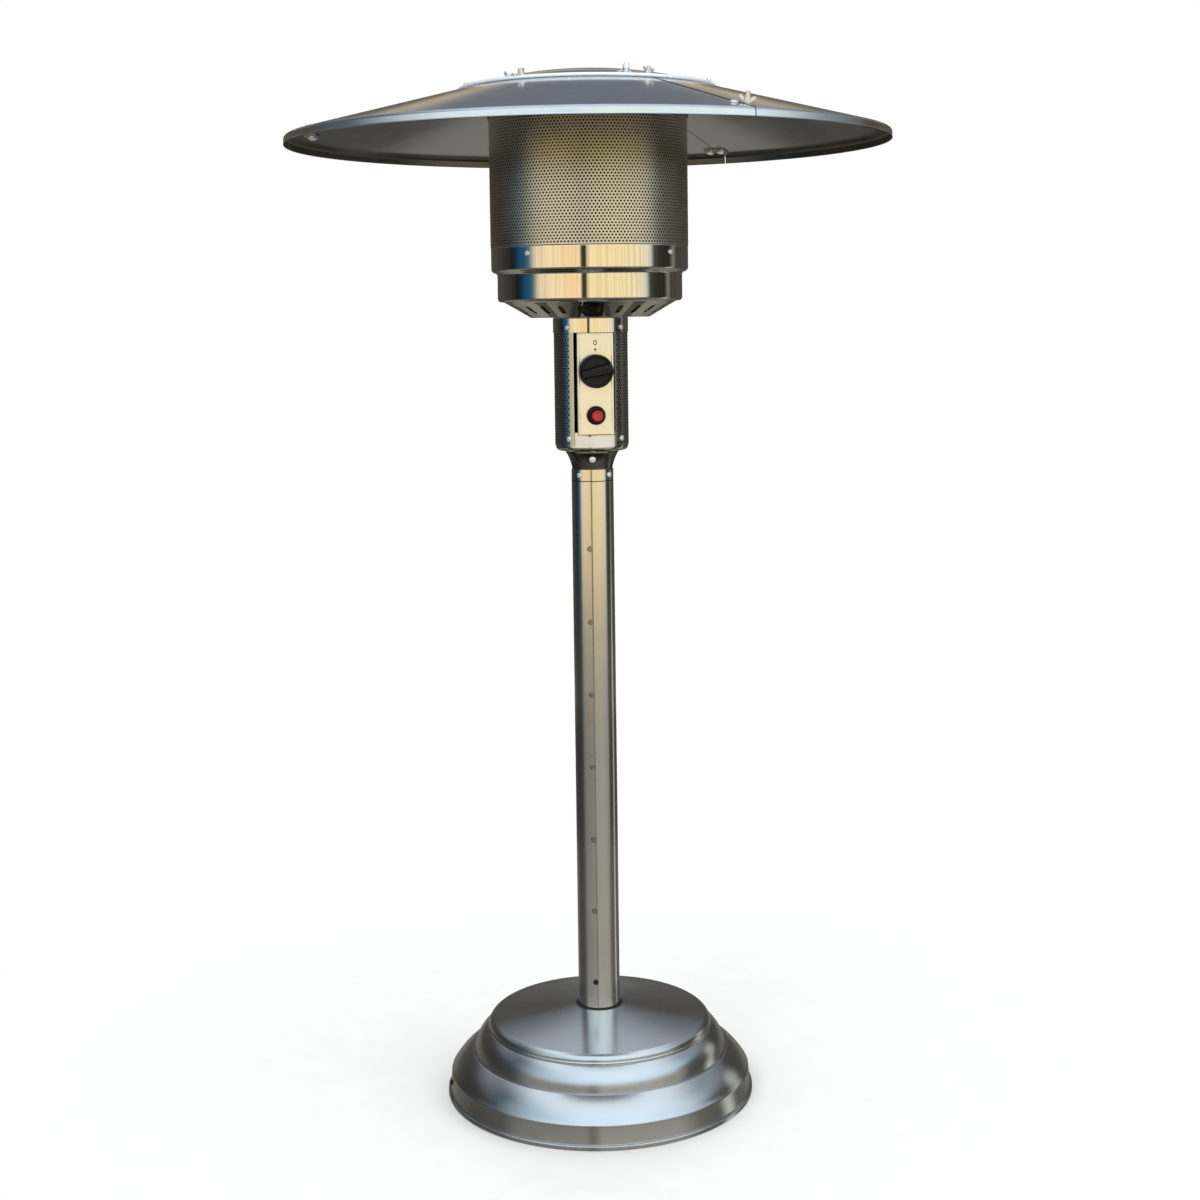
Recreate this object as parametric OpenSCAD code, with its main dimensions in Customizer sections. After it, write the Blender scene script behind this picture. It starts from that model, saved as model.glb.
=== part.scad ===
// Mushroom patio heater: weighted base, telescopic post, control housing, head and reflector.
// Millimetres. Origin on the floor, on the post's axis. +Z is up and the control panel faces -Y.
// Angles round the post count from the panel, positive towards +X.

/* [Base] */
// Outer radius of the base cover at its hem
base_r = 211; // [200:1:225]
// Height of the base cover's top above the floor
cover_top_z = 118; // [112:1:130]
// Wall of the base cover's sheet
cover_sheet = 1.2; // [0.8:0.1:1.6]
// Radius where the top cone of the cover ends
cone_r = 147.5; // [142:0.5:152]
// Height where the top cone of the cover ends
cone_z = 102.5; // [99:0.5:106]
// Radius of the lower edge of the middle tier
tier_mid_r = 174; // [170:1:178]
// Height of the lower edge of the middle tier
tier_mid_z = 60.5; // [57:0.5:64]
// Height of the straight outer wall's top
wall_top_z = 29; // [26:0.5:32]
// Thickness of the steel base plate
plate_t = 6; // [4:0.5:8]
// Height of the rubber foot pads
pad_h = 3; // [2:0.5:5]
// Radius of one foot pad
pad_r = 20; // [12:1:25]
// Height of the cast iron weight
ballast_h = 40; // [25:1:45]
// Outer radius of the cast iron weight
ballast_r = 150; // [120:1:156]

/* [Post] */
// Outer radius of the fixed post
post_r = 28.5; // [26:0.5:29]
// Wall of the fixed post
post_wall = 1.5; // [1.2:0.1:2]
// Height of the fixed post's top edge above the floor
post_top_z = 847; // [800:1:900]
// Height of the lowest lock hole
lock_hole_z = 156; // [150:1:170]
// Distance between lock holes
lock_pitch = 100; // [80:1:110]
// Number of lock holes
lock_count = 7; // [3:1:7]
// Radius of a lock hole
lock_hole_r = 4; // [3:0.5:5]
// Angle of the row of lock holes
lock_angle = -17; // [-30:1:30]
// Outer radius of the sliding tube
tube_r = 25.4; // [24:0.1:25.4]
// Wall of the sliding tube
tube_wall = 1.5; // [1.2:0.1:2]
// Depth of the plastic guide in the post's mouth
guide_depth = 30; // [20:1:40]

/* [Control housing] */
// Outer radius of the perforated sleeve
sleeve_r = 50; // [47:0.5:52]
// Height of the perforated sleeve
sleeve_h = 158; // [150:1:159]
// Wall of the perforated sleeve
sleeve_t = 0.8; // [0.6:0.1:1]
// Angle of the sleeve's left edge
sleeve_left = 35.5; // [34:0.5:38]
// Angle of the sleeve's right edge
sleeve_right = 31.5; // [31:0.5:38]
// Height of the neck between the collar and the housing
neck_h = 25.5; // [22:0.5:30]
// Height of the collar on the post
collar_h = 15; // [12:0.5:18]
// Width of the faceplate
face_w = 48.8; // [46:0.2:49]
// Height of the faceplate
face_h = 136; // [130:1:138]
// Distance of the faceplate's front from the post's axis
face_y = 44; // [43:0.5:45]
// Radius of the control knob
knob_r = 22.5; // [18:0.5:24]
// Height of the knob's body
knob_h = 9; // [7:0.5:12]
// Height of the knob's grip bar
grip_h = 9; // [5:0.5:12]
// Angle of the grip bar above the horizontal
grip_angle = 12; // [0:1:30]
// Travel of the knob when it is pushed
knob_travel = 4; // [2:0.5:4]
// Radius of the igniter's bezel
bezel_r = 12.7; // [11:0.1:14]
// Radius of the igniter's button
button_r = 7.2; // [5:0.1:8]
// Travel of the igniter's button
button_travel = 6; // [3:0.5:7]

/* [Head] */
// Outer radius of the head's upper band
band_r = 132.8; // [128:0.2:138]
// Outer radius of the head's lower band
lower_band_r = 124.6; // [118:0.2:125]
// Height of the lower band
lower_band_h = 32; // [26:1:36]
// Height of the upper band
upper_band_h = 28.4; // [24:0.2:34]
// Radius of the flat bottom of the head
bowl_flat_r = 80; // [76:1:90]
// Number of air slots in the head's cone
slot_count = 24; // [12:1:24]
// Width of an air slot
slot_w = 7; // [4:0.5:8]
// Length of an air slot
slot_l = 20; // [14:0.5:24]
// Height of the perforated emitter screen
emitter_h = 176; // [150:1:180]
// Radius of the burner pot
pot_r = 60; // [50:1:62]
// Height of the draught guard behind the air slots
guard_h = 22; // [12:1:24]

/* [Reflector] */
// Outer radius of the reflector
reflector_r = 404; // [380:1:430]
// Height of the turned-down rim
rim_h = 11.5; // [9:0.5:16]
// Rise of the cone for each millimetre of radius
cone_rise = 0.26; // [0.24:0.01:0.32]
// Radius of the centre disc
disc_r = 170; // [150:1:215]
// Height of the centre disc's dome
dome_h = 25.5; // [18:0.5:34]
// Sheet thickness of the reflector
reflector_t = 1; // [0.8:0.1:1.5]
// Angle of the first seam between reflector segments
seam_angle = 21; // [0:1:60]
// Width of the open seam between two segments
seam_gap = 1.5; // [0.6:0.1:3]
// Radius of the circle of studs that carry the reflector
stud_circle_r = 105; // [90:1:115]
// Gap between the emitter's top and the reflector's rim height
emitter_rise = 46; // [30:1:46]

/* [Hidden] */
$fn = 72;
tiny = 0.05;
seat = 0.3;
fit = 0.05;
step = 0.1;

// Base heights and radii that follow from the sizes above
plate_z = pad_h;
deck_z = plate_z + plate_t;
hem_h = 5.4;
hem_w = 3;
hem_lift = 0.6;
wall_lean = 2;
wall_r = base_r - hem_w;
wall_shoulder_r = wall_r - wall_lean;
plate_r = wall_r - 5;
pad_circle_r = 150;
post_land_r = post_r + 8.5;
post_opening_r = post_r + 2.5;
rim_step = 2;
rim_drop = 6;
bead_w = 4.5;
bead_drop = 8.4;
groove = 0.8;
tier_top_z = cone_z - rim_drop - bead_drop + 1.6;
tier_bulge = 3.2;
tier_ledge = 3.8;
low_bulge = 2.2;
shoulder_w = 1.3;
shoulder_h = 3.5;

// Bolts and screws
bolt_r = 4;
bolt_af = 13;
bolt_head_h = 5.5;
screw_r = 2.4;
screw_head_r = 4.4;
screw_head_h = 2.6;
small_screw_r = 1.9;
small_head_r = 3.6;
small_head_h = 2.4;
ballast_bolt_r = 105;
flange_r = 55;
flange_t = 8;
flange_bolt_r = 42;
stub_r = post_r - post_wall - 0.2;
stub_bore_r = 22;
stub_h = 80;
stub_screw_z = deck_z + flange_t + 55;
ballast_bore_r = 60;
ballast_slot_w = 26;
lug_w = 16;
lug_t = 3;
lug_h = 18;
cover_screw_z = 18;
pipe_r = 6;
nipple_r = 8.4;
nipple_l = 14;
nipple_hex_af = 20;
nipple_hex_t = 5;
pipe_top_z = 45;
hose_r = 6;
hose_bore_r = 4;
grommet_lip = 3;

// Post and sliding tube
post_bore_r = post_r - post_wall;
guide_lip = 1.2;
guide_wall = post_bore_r - fit - tube_r - seat;
ring_h = 18;
split_w = 2 * lock_hole_r + 2;
tube_foot = 30;
tube_bottom_z = lock_hole_z - tube_foot;
lock_nut_r = 7;
lock_nut_l = 6;
lock_screw_out = post_r - 0.25;
collar_z = post_top_z + guide_lip;
neck_z = collar_z + collar_h + tiny;
neck_low_r = 27.2;
neck_high_r = 35.7;
neck_flange_h = 2.5;
cup_z = neck_z + neck_h;
tube_top_z = cup_z - 4;
collar_screw_z = collar_z + collar_h / 2;
neck_screw_z = neck_z + 14.5;
neck_screw_angle = -7;
neck_seat_r = neck_low_r + 4;
neck_head_r = 4.4;

// Control housing
cup_sheet = 1.2;
cup_r = sleeve_r - sleeve_t - step;
cup_h = 26;
cup_corner = 6;
cup_bore_r = 32;
sleeve_z = cup_z + 7.5;
top_ring_r = sleeve_r + 0.85;
top_ring_h = 20;
top_ring_top_z = sleeve_z + sleeve_h + 14;
top_ring_z = top_ring_top_z - top_ring_h;
top_ring_bore_r = 36;
head_bolt_r = 42;
housing_screw_low_z = cup_z + 17.5;
housing_screw_high_z = top_ring_z + 7;
face_z = top_ring_z - face_h - 0.6;
face_t = 1;
face_flange = 10;
knob_z = face_z + 85;
igniter_z = face_z + 26;
web_y = face_y - face_flange - tiny;
web_t = 1.2;
web_w = face_w - 2 * face_t - 0.4;
leg_d = 24;
tab_d = 18;
name_h = 14;
name_t = 0.7;
stem_r = 4;
stem_back_y = 18;
stem_front_y = 63;
valve_w = 38;
valve_front_y = web_y - web_t - step;
valve_back_y = 10;
valve_low = 22;
valve_high = 22;
bonnet_r = 10;
bonnet_front_y = 36.4;
inlet_boss_r = 9;
inlet_boss_h = 9;
washer_r = 8;
washer_t = 1.2;
washer_y = bonnet_front_y + knob_travel + 0.7;
knob_back_y = face_y + knob_travel + 1.2;
bezel_h = 6;
barrel_r = 9;
barrel_back_y = 12;
button_out = 12;
button_depth = 12;

// Head
bowl_sheet = 1.2;
bowl_z = top_ring_top_z + tiny;
bowl_bore_r = 36;
bowl_cone_h = 21;
bowl_shelf_r = lower_band_r - 8.6;
lower_band_z = bowl_z + bowl_cone_h + 4.5;
step_z = lower_band_z + lower_band_h;
upper_band_z = step_z + 7.5;
band_top_z = upper_band_z + upper_band_h;
joggle = 0.9;
joggle_h = 8.6;
slot_mid_r = (bowl_flat_r + bowl_shelf_r) / 2;
band_screw_z = band_top_z - 9;
shelf_z = upper_band_z + 1;
burner_plate_t = 1.2;
burner_plate_r = band_r - bowl_sheet - seat;
burner_rim_h = 24;
pot_depth = 24;
pot_sheet = 1.5;
pot_flange_w = 8;
guard_r = bowl_flat_r - 4;
guard_t = 1;
venturi_r = 14;
venturi_wall = 1;
venturi_z = knob_z + valve_high + 9;
jet_r = 6;
jet_h = 14;
screen_z = band_top_z + joggle + tiny;
screen_r = band_r + 0.4;
screen_t = 1;
screen_top_z = screen_z + emitter_h;
cap_t = 1.2;
cap_rim_h = 13;
gauze_rise = 4;

// Reflector
brim_z = screen_top_z - emitter_rise + 5.8;
brim_top_z = brim_z + rim_h;
brim_round = 3;
shoulder_r = reflector_r - brim_round;
segment_inner_r = disc_r - 14;
disc_edge_z = brim_top_z + (shoulder_r - disc_r) * cone_rise + reflector_t + 0.6;
disc_bead_r = 1.4;
disc_bolt_r = disc_r - 10;
seam_bolt_r = reflector_r - 32;
seam_bolt_side = 9;
m6_r = 2.95;
m6_hole_r = 3.2;
bolt_cap_r = 5;
bolt_cap_h = 3;
disc_bolt_l = 12;
seam_bolt_l = 14;
strap_w = 34;
strap_d = 16;
strap_t = 1.5;
nut_r = 4.6;
nut_h = 5;
wing_w = 11;
wing_h = 9;
wing_t = 1.8;
spacer_r = 6;
cone_tilt = atan(cone_rise);
cross_angles = [45, 135, 225, 315];
ballast_angles = [0, 90, 270];

// Routes of the thin leads inside the housing and the head, from the valve and the igniter
wire_r = 1.25;
lead_r = 1.5;
pilot_r = 2;
electrode_at = [48, 64];
couple_at = [70, 44];
pilot_at = [58, 52];

// Points from p to q on a curve that stands out by s at its middle, to the left of the way
function bulge(p, q, s, n = 8) =
    let (d = q - p, side = [-d[1], d[0]] / norm(d))
    [for (i = [0 : n]) let (t = i / n) p + t * d + 4 * s * t * (1 - t) * side];

// Unit vector to the right of the way from p to q
function right_of(p, q) = let (d = q - p) [d[1], -d[0]] / norm(d);

// The same line moved t to its right, with mitred corners
function moved(line, t) = let (last = len(line) - 1)
    [for (i = [0 : last])
        let (a = i == 0 ? right_of(line[0], line[1]) : right_of(line[i - 1], line[i]),
             b = i == last ? a : right_of(line[i], line[i + 1]),
             q = line[i] + t * (a + b) / (1 + a * b))
        [max(q[0], 0), q[1]]];

// Closed outline of a sheet of thickness t along a line of [radius, height] points
function sheet_outline(line, t) = let (inner = moved(line, t), last = len(line) - 1)
    concat(line, [for (i = [last : -1 : 0]) inner[i]]);

// Smooth points through a route, n to each of its legs
function smooth_route(p, n) = let (last = len(p) - 1)
    concat([for (i = [0 : last - 1], k = [0 : n - 1])
        let (a = p[max(i - 1, 0)], b = p[i], c = p[i + 1], d = p[min(i + 2, last)], t = k / n)
        0.5 * (2 * b + t * (c - a) + t * t * (2 * a - 5 * b + 4 * c - d)
            + t * t * t * (3 * b - 3 * c + d - a))], [p[last]]);

function unit(v) = v / norm(v);

// Round tube of radius r along a route, with its rings square to the way
module swept(route, r, sides = 8, aside = [1, 0, 0]) {
    last = len(route) - 1;
    rings = [for (i = [0 : last])
        let (way = unit(route[min(i + 1, last)] - route[max(i - 1, 0)]),
             u = unit(cross(way, aside)), v = cross(way, u))
        for (k = [0 : sides - 1])
            route[i] + r * (cos(360 * k / sides) * u + sin(360 * k / sides) * v)];
    skin = [for (i = [0 : last - 1], k = [0 : sides - 1])
        let (a = i * sides + k, b = i * sides + (k + 1) % sides)
        each [[a, a + sides, b], [b, a + sides, b + sides]]];
    ends = [[for (k = [0 : sides - 1]) k],
        [for (k = [sides - 1 : -1 : 0]) last * sides + k]];
    polyhedron(concat(rings), concat(skin, ends), convexity = 4);
}

// Turns a piece drawn on +X to angle a from the panel
module turned(a) { rotate([0, 0, a - 90]) children(); }

// Puts a piece on the post's outside: its +Z points outwards at angle a
module radial(a, r, z) { turned(a) translate([r, 0, z]) rotate([0, 90, 0]) children(); }

// Puts a piece in front of the panel: its +Z points to the front
module frontal(x, y, z) { translate([x, -y, z]) rotate([90, 0, 0]) children(); }

// Puts a piece on the reflector's cone at angle a and radius r, with +Z square to the cone
module on_cone(a, r, side = 0) {
    turned(a) translate([r, side, brim_top_z + (shoulder_r - r) * cone_rise])
        rotate([0, cone_tilt, 0]) children();
}

module ring(outer_r, inner_r, h) {
    difference() {
        cylinder(r = outer_r, h = h);
        translate([0, 0, -1]) cylinder(r = inner_r, h = h + 2);
    }
}

// Screw with a domed head and a cross recess; its head stands on z = 0
module pan_screw(r, l, head_r, head_h) {
    difference() {
        rotate_extrude() polygon(concat([[0, -l], [r, -l], [r, 0]],
            [[head_r, 0], [head_r, head_h * 0.3]],
            [for (a = [15 : 15 : 90]) [head_r * cos(a), head_h * (0.3 + 0.7 * sin(a))]]));
        for (a = [0, 90]) rotate([0, 0, a])
            translate([-head_r * 0.55, -head_r * 0.11, head_h * 0.45])
                cube([head_r * 1.1, head_r * 0.22, head_h]);
    }
}

module hex_bolt(r, l, af, head_h) {
    translate([0, 0, -l]) cylinder(r = r, h = l + 1);
    cylinder(r = af / sqrt(3), h = head_h, $fn = 6);
}

module wing_nut() {
    difference() {
        union() {
            cylinder(r = nut_r, h = nut_h);
            translate([0, wing_t / 2, 0]) rotate([90, 0, 0]) linear_extrude(wing_t)
                polygon([[-nut_r, 0.6], [nut_r, 0.6], [wing_w, wing_h - 2.5], [wing_w - 1, wing_h],
                    [wing_w - 3.5, wing_h - 0.6], [nut_r - 0.8, nut_h], [0.8 - nut_r, nut_h],
                    [3.5 - wing_w, wing_h - 0.6], [1 - wing_w, wing_h], [-wing_w, wing_h - 2.5]]);
        }
        translate([0, 0, -1]) cylinder(r = m6_r + fit, h = wing_h + 2);
    }
}

// Outer line of the base cover, from the post's opening out to the hem
cover_form = concat(
    [[post_opening_r, cover_top_z], [post_land_r, cover_top_z], [cone_r, cone_z]],
    bulge([cone_r + rim_step + bead_w + 1.4, tier_top_z], [tier_mid_r, tier_mid_z], tier_bulge),
    bulge([tier_mid_r + tier_ledge, tier_mid_z - 0.8],
        [wall_shoulder_r - shoulder_w, wall_top_z + shoulder_h], low_bulge),
    [[wall_shoulder_r, wall_top_z], [wall_r, hem_lift + hem_h + 1]]);
cover_line = concat(
    [[post_opening_r, cover_top_z], [post_land_r, cover_top_z], [cone_r, cone_z],
     [cone_r + rim_step, cone_z - 1.2], [cone_r + rim_step + 1, cone_z - rim_drop],
     [cone_r + rim_step + 3.4, cone_z - rim_drop - 0.8],
     [cone_r + rim_step + bead_w, cone_z - rim_drop - 2],
     [cone_r + rim_step + bead_w + 0.6, tier_top_z + groove + 0.8],
     [cone_r + rim_step + bead_w, tier_top_z + groove * 0.4]],
    bulge([cone_r + rim_step + bead_w + 1.4, tier_top_z], [tier_mid_r, tier_mid_z], tier_bulge),
    [[tier_mid_r - groove, tier_mid_z - groove]],
    bulge([tier_mid_r + tier_ledge, tier_mid_z - 0.8],
        [wall_shoulder_r - shoulder_w, wall_top_z + shoulder_h], low_bulge),
    bulge([wall_shoulder_r - shoulder_w, wall_top_z + shoulder_h],
        [wall_shoulder_r, wall_top_z], 0.6, 4),
    [[wall_r, hem_lift + hem_h + 1], [wall_r - groove, hem_lift + hem_h],
     [base_r - 0.8, hem_lift + hem_h], [base_r, hem_lift + hem_h - 0.8], [base_r, hem_lift]]);

module foot_pads() {
    color("#1E1E1E") for (a = cross_angles) turned(a) translate([pad_circle_r, 0, 0])
        cylinder(r = pad_r, h = pad_h);
}

module base_plate() {
    color("#3A3D40") translate([0, 0, plate_z]) difference() {
        cylinder(r = plate_r, h = plate_t);
        for (a = ballast_angles) turned(a) translate([ballast_bolt_r, 0, -1])
            cylinder(r = bolt_r + fit, h = plate_t + 2);
        for (a = cross_angles) turned(a) translate([flange_bolt_r, 0, -1])
            cylinder(r = bolt_r + fit, h = plate_t + 2);
    }
}

module ballast_weight() {
    color("#2C2E30") translate([0, 0, deck_z + tiny]) difference() {
        ring(ballast_r, ballast_bore_r, ballast_h);
        for (a = ballast_angles) turned(a) translate([ballast_bolt_r, 0, -1])
            cylinder(r = bolt_r + 0.5, h = ballast_h + 2);
        translate([-ballast_slot_w / 2, 0, -1]) cube([ballast_slot_w, ballast_r + 1, ballast_h + 2]);
    }
}

module base_bolts() {
    color("#B8BCC0") {
        for (a = ballast_angles) turned(a) translate([ballast_bolt_r, 0, deck_z + ballast_h + 2 * tiny])
            hex_bolt(bolt_r, ballast_h + plate_t - 1, bolt_af, bolt_head_h);
        for (a = cross_angles) turned(a) translate([flange_bolt_r, 0, deck_z + flange_t + 2 * tiny])
            hex_bolt(bolt_r, flange_t + plate_t - 1, bolt_af, bolt_head_h);
    }
}

module post_flange() {
    color("#54585C") translate([0, 0, deck_z + tiny]) difference() {
        union() {
            cylinder(r = flange_r, h = flange_t);
            cylinder(r = stub_r, h = flange_t + stub_h);
        }
        translate([0, 0, -1]) cylinder(r = stub_bore_r, h = flange_t + stub_h + 2);
        for (a = cross_angles) {
            turned(a) translate([flange_bolt_r, 0, -1]) cylinder(r = bolt_r + fit, h = flange_t + 2);
            radial(a, stub_bore_r - 1, stub_screw_z - deck_z - tiny) cylinder(r = screw_r + fit, h = 8);
        }
        translate([-pipe_r - 2, 0, flange_t + 1]) cube([2 * pipe_r + 4, stub_r + 1, 2 * pipe_r + 8]);
    }
}

module base_screws() {
    color("#8F9498") {
        for (a = cross_angles) radial(a, post_r + tiny, stub_screw_z)
            pan_screw(screw_r, 6, screw_head_r, screw_head_h);
        for (a = [-90, 90]) radial(a, wall_r - 0.4, cover_screw_z)
            pan_screw(screw_r, 9, screw_head_r, 2.4);
    }
}

module outer_post() {
    foot_z = deck_z + flange_t + 2 * tiny;
    color("#AEB2B4") difference() {
        translate([0, 0, foot_z]) ring(post_r, post_bore_r, post_top_z - foot_z);
        for (i = [0 : lock_count - 1])
            radial(lock_angle, post_bore_r - 3, lock_hole_z + i * lock_pitch)
                cylinder(r = lock_hole_r, h = 8);
        for (a = cross_angles) radial(a, post_bore_r - 3, stub_screw_z)
            cylinder(r = screw_r + fit, h = 8);
        translate([-pipe_r - 2, 0, deck_z + flange_t + 1])
            cube([2 * pipe_r + 4, post_r + 1, 2 * pipe_r + 8]);
    }
}

module base_cover() {
    inner = moved(cover_form, cover_sheet);
    color("#A9AEB3") difference() {
        rotate_extrude($fn = 180) polygon(concat(cover_line,
            [[wall_r - cover_sheet, hem_lift]],
            [for (i = [len(inner) - 1 : -1 : 0]) inner[i]]));
        for (a = [-90, 90]) radial(a, wall_r - 6, cover_screw_z) cylinder(r = screw_r + 0.2, h = 12);
        radial(180, wall_r - 6, cover_screw_z) cylinder(r = nipple_r + 0.3, h = 12);
    }
}

module cover_lugs() {
    foot_d = 15;
    lug_out = wall_shoulder_r - cover_sheet - 0.6;
    color("#6E7276") for (a = [-90, 90]) turned(a) difference() {
        union() {
            translate([lug_out - lug_t - foot_d, -lug_w / 2, deck_z + tiny])
                cube([foot_d + lug_t, lug_w, lug_t]);
            translate([lug_out - lug_t, -lug_w / 2, deck_z + tiny]) cube([lug_t, lug_w, lug_h]);
        }
        translate([lug_out - lug_t - 1, 0, cover_screw_z]) rotate([0, 90, 0])
            cylinder(r = screw_r + fit, h = lug_t + 2);
    }
}

module post_grommet() {
    sheet_low = cover_top_z - cover_sheet;
    color("#151515") rotate_extrude() polygon([
        [post_r + seat, sheet_low - 1.6], [post_opening_r + grommet_lip, sheet_low - 1.6],
        [post_opening_r + grommet_lip, sheet_low - tiny], [post_opening_r - 0.1, sheet_low - tiny],
        [post_opening_r - 0.1, cover_top_z + tiny],
        [post_opening_r + grommet_lip, cover_top_z + tiny],
        [post_opening_r + grommet_lip - 0.6, cover_top_z + 1.2],
        [post_r + seat + 0.5, cover_top_z + 1.8], [post_r + seat, cover_top_z + 1.4]]);
}

module guide_bush() {
    color("#202020") translate([0, 0, post_top_z]) rotate_extrude() polygon([
        [tube_r + seat, -guide_depth], [tube_r + seat + guide_wall, -guide_depth],
        [tube_r + seat + guide_wall, 0], [post_r, 0], [post_r, guide_lip - tiny],
        [tube_r + seat, guide_lip - tiny]]);
}

module gas_pipe() {
    nipple_back = wall_r - 12;
    route = [[0, 0, pipe_top_z], [0, 0, 42], [0, 0, 38], [0, 6, 31], [0, 16, 27], [0, 40, 26],
        [0, 90, 26], [0, 130, 25], [0, 160, 20], [0, 180, cover_screw_z],
        [0, nipple_back - 4, cover_screw_z], [0, nipple_back, cover_screw_z]];
    color("#C2A15A") swept(smooth_route(route, 4), pipe_r, 12);
}

module inlet_nipple() {
    color("#C9A24B") translate([0, wall_r - 12 + tiny, cover_screw_z]) rotate([-90, 0, 0]) {
        cylinder(r = nipple_r, h = 12 + nipple_l);
        translate([0, 0, 12 + seat]) cylinder(r = nipple_hex_af / sqrt(3), h = nipple_hex_t, $fn = 6);
    }
}

module gas_hose() {
    color("#2B2B2B") translate([0, 0, pipe_top_z + tiny])
        ring(hose_r, hose_bore_r, knob_z - valve_low - inlet_boss_h - pipe_top_z - 2 * tiny);
}

module lock_screw() {
    depth = lock_screw_out - tube_r - seat;
    color("#303234") radial(lock_angle, tube_r + seat, lock_hole_z) difference() {
        cylinder(r = lock_hole_r - fit, h = depth);
        translate([0, 0, depth - 1.5]) rotate([0, 0, 30]) cylinder(r = 2.3, h = 2, $fn = 6);
    }
}

module inner_tube() {
    color("#9CA0A3") difference() {
        translate([0, 0, tube_bottom_z]) ring(tube_r, tube_r - tube_wall, tube_top_z - tube_bottom_z);
        radial(lock_angle, tube_r - 6, lock_hole_z) cylinder(r = lock_hole_r, h = 10);
        for (a = cross_angles) radial(a, tube_r - 6, collar_screw_z)
            cylinder(r = small_screw_r + fit, h = 10);
        for (a = [0, 120, 240]) radial(neck_screw_angle + a, tube_r - 6, neck_screw_z)
            cylinder(r = small_screw_r + fit, h = 10);
    }
}

module lock_nut() {
    color("#7C8084") intersection() {
        radial(lock_angle, tube_r - tube_wall - lock_nut_l, lock_hole_z)
            ring(lock_nut_r, lock_hole_r, lock_nut_l + 2);
        translate([0, 0, tube_bottom_z]) cylinder(r = tube_r - tube_wall - fit, h = 2 * tube_foot);
    }
}

module glide_ring() {
    color("#222222") translate([0, 0, tube_bottom_z - 1.5]) difference() {
        rotate_extrude() polygon([[tube_r - tube_wall, 0], [post_bore_r - seat, 0],
            [post_bore_r - seat, ring_h], [tube_r + fit, ring_h], [tube_r + fit, 1.5 - tiny],
            [tube_r - tube_wall, 1.5 - tiny]]);
        turned(lock_angle) translate([tube_r - 6, -split_w / 2, -1]) cube([10, split_w, ring_h + 2]);
    }
}

module post_collar() {
    color("#B4B7B9") difference() {
        translate([0, 0, collar_z]) ring(post_r, tube_r + fit, collar_h);
        for (a = cross_angles) radial(a, tube_r - 1, collar_screw_z)
            cylinder(r = small_screw_r + fit, h = 8);
    }
}

module collar_screws() {
    color("#DDDFE0") for (a = cross_angles) radial(a, post_r + tiny, collar_screw_z)
        pan_screw(small_screw_r, 6, small_head_r, small_head_h);
}

module neck() {
    color("#5C5A57") difference() {
        rotate_extrude() polygon(concat(
            bulge([neck_high_r, neck_z + neck_h - neck_flange_h], [neck_low_r, neck_z], -1.2),
            [[tube_r + fit, neck_z], [tube_r + fit, tube_top_z + tiny],
             [stub_bore_r, tube_top_z + tiny], [stub_bore_r, cup_z - tiny],
             [neck_high_r, cup_z - tiny]]));
        for (a = [0, 120, 240]) {
            radial(neck_screw_angle + a, tube_r - 1, neck_screw_z) cylinder(r = small_screw_r + fit, h = 14);
            radial(neck_screw_angle + a, neck_seat_r - tiny, neck_screw_z)
                cylinder(r = neck_head_r + 0.15, h = 8);
        }
    }
}

module neck_screws() {
    color("#DDDFE0") for (a = [0, 120, 240]) radial(neck_screw_angle + a, neck_seat_r, neck_screw_z)
        pan_screw(small_screw_r, neck_seat_r - tube_r + 3, neck_head_r, small_head_h);
}

module housing_cup() {
    line = concat([[cup_r, cup_z + cup_h], [cup_r, cup_z + cup_corner]],
        [for (a = [-15 : -15 : -90])
            [cup_r - cup_corner + cup_corner * cos(a), cup_z + cup_corner + cup_corner * sin(a)]],
        [[cup_bore_r, cup_z]]);
    color("#3B3733") difference() {
        rotate_extrude() polygon(sheet_outline(line, cup_sheet));
        for (a = cross_angles) radial(a, cup_r - 4, housing_screw_low_z)
            cylinder(r = small_screw_r + fit, h = 8);
        frontal(0, cup_r + 2, cup_z + cup_h)
            translate([-face_w / 2 - 0.6, -3.6, -16]) cube([face_w + 1.2, 6, 17]);
    }
}

module perforated_sleeve() {
    color("#6B6964") translate([0, 0, sleeve_z]) difference() {
        rotate([0, 0, sleeve_right - 90]) rotate_extrude(angle = 360 - sleeve_left - sleeve_right)
            translate([sleeve_r - sleeve_t, 0]) square([sleeve_t, sleeve_h]);
        for (a = cross_angles) {
            radial(a, cup_r - 1, housing_screw_low_z - sleeve_z) cylinder(r = small_screw_r + fit, h = 6);
            radial(a, cup_r - 1, housing_screw_high_z - sleeve_z) cylinder(r = small_screw_r + fit, h = 6);
        }
    }
}

module housing_top_ring() {
    color("#B9A273") difference() {
        rotate_extrude() polygon([[top_ring_r, top_ring_z], [top_ring_r, top_ring_top_z - 1],
            [top_ring_r - 1, top_ring_top_z], [top_ring_bore_r, top_ring_top_z],
            [top_ring_bore_r, top_ring_top_z - 1.2], [top_ring_r - 0.8, top_ring_top_z - 1.2],
            [top_ring_r - 0.8, top_ring_z]]);
        for (a = cross_angles) {
            radial(a, top_ring_r - 4, housing_screw_high_z) cylinder(r = small_screw_r + fit, h = 8);
            turned(a) translate([head_bolt_r, 0, top_ring_top_z - 3]) cylinder(r = screw_r + fit, h = 6);
        }
    }
}

module housing_screws() {
    color("#DDDFE0") for (a = cross_angles) {
        radial(a, sleeve_r + tiny, housing_screw_low_z)
            pan_screw(small_screw_r, 5, small_head_r, small_head_h);
        radial(a, top_ring_r + tiny, housing_screw_high_z)
            pan_screw(small_screw_r, 5, small_head_r, small_head_h);
    }
}

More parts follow.
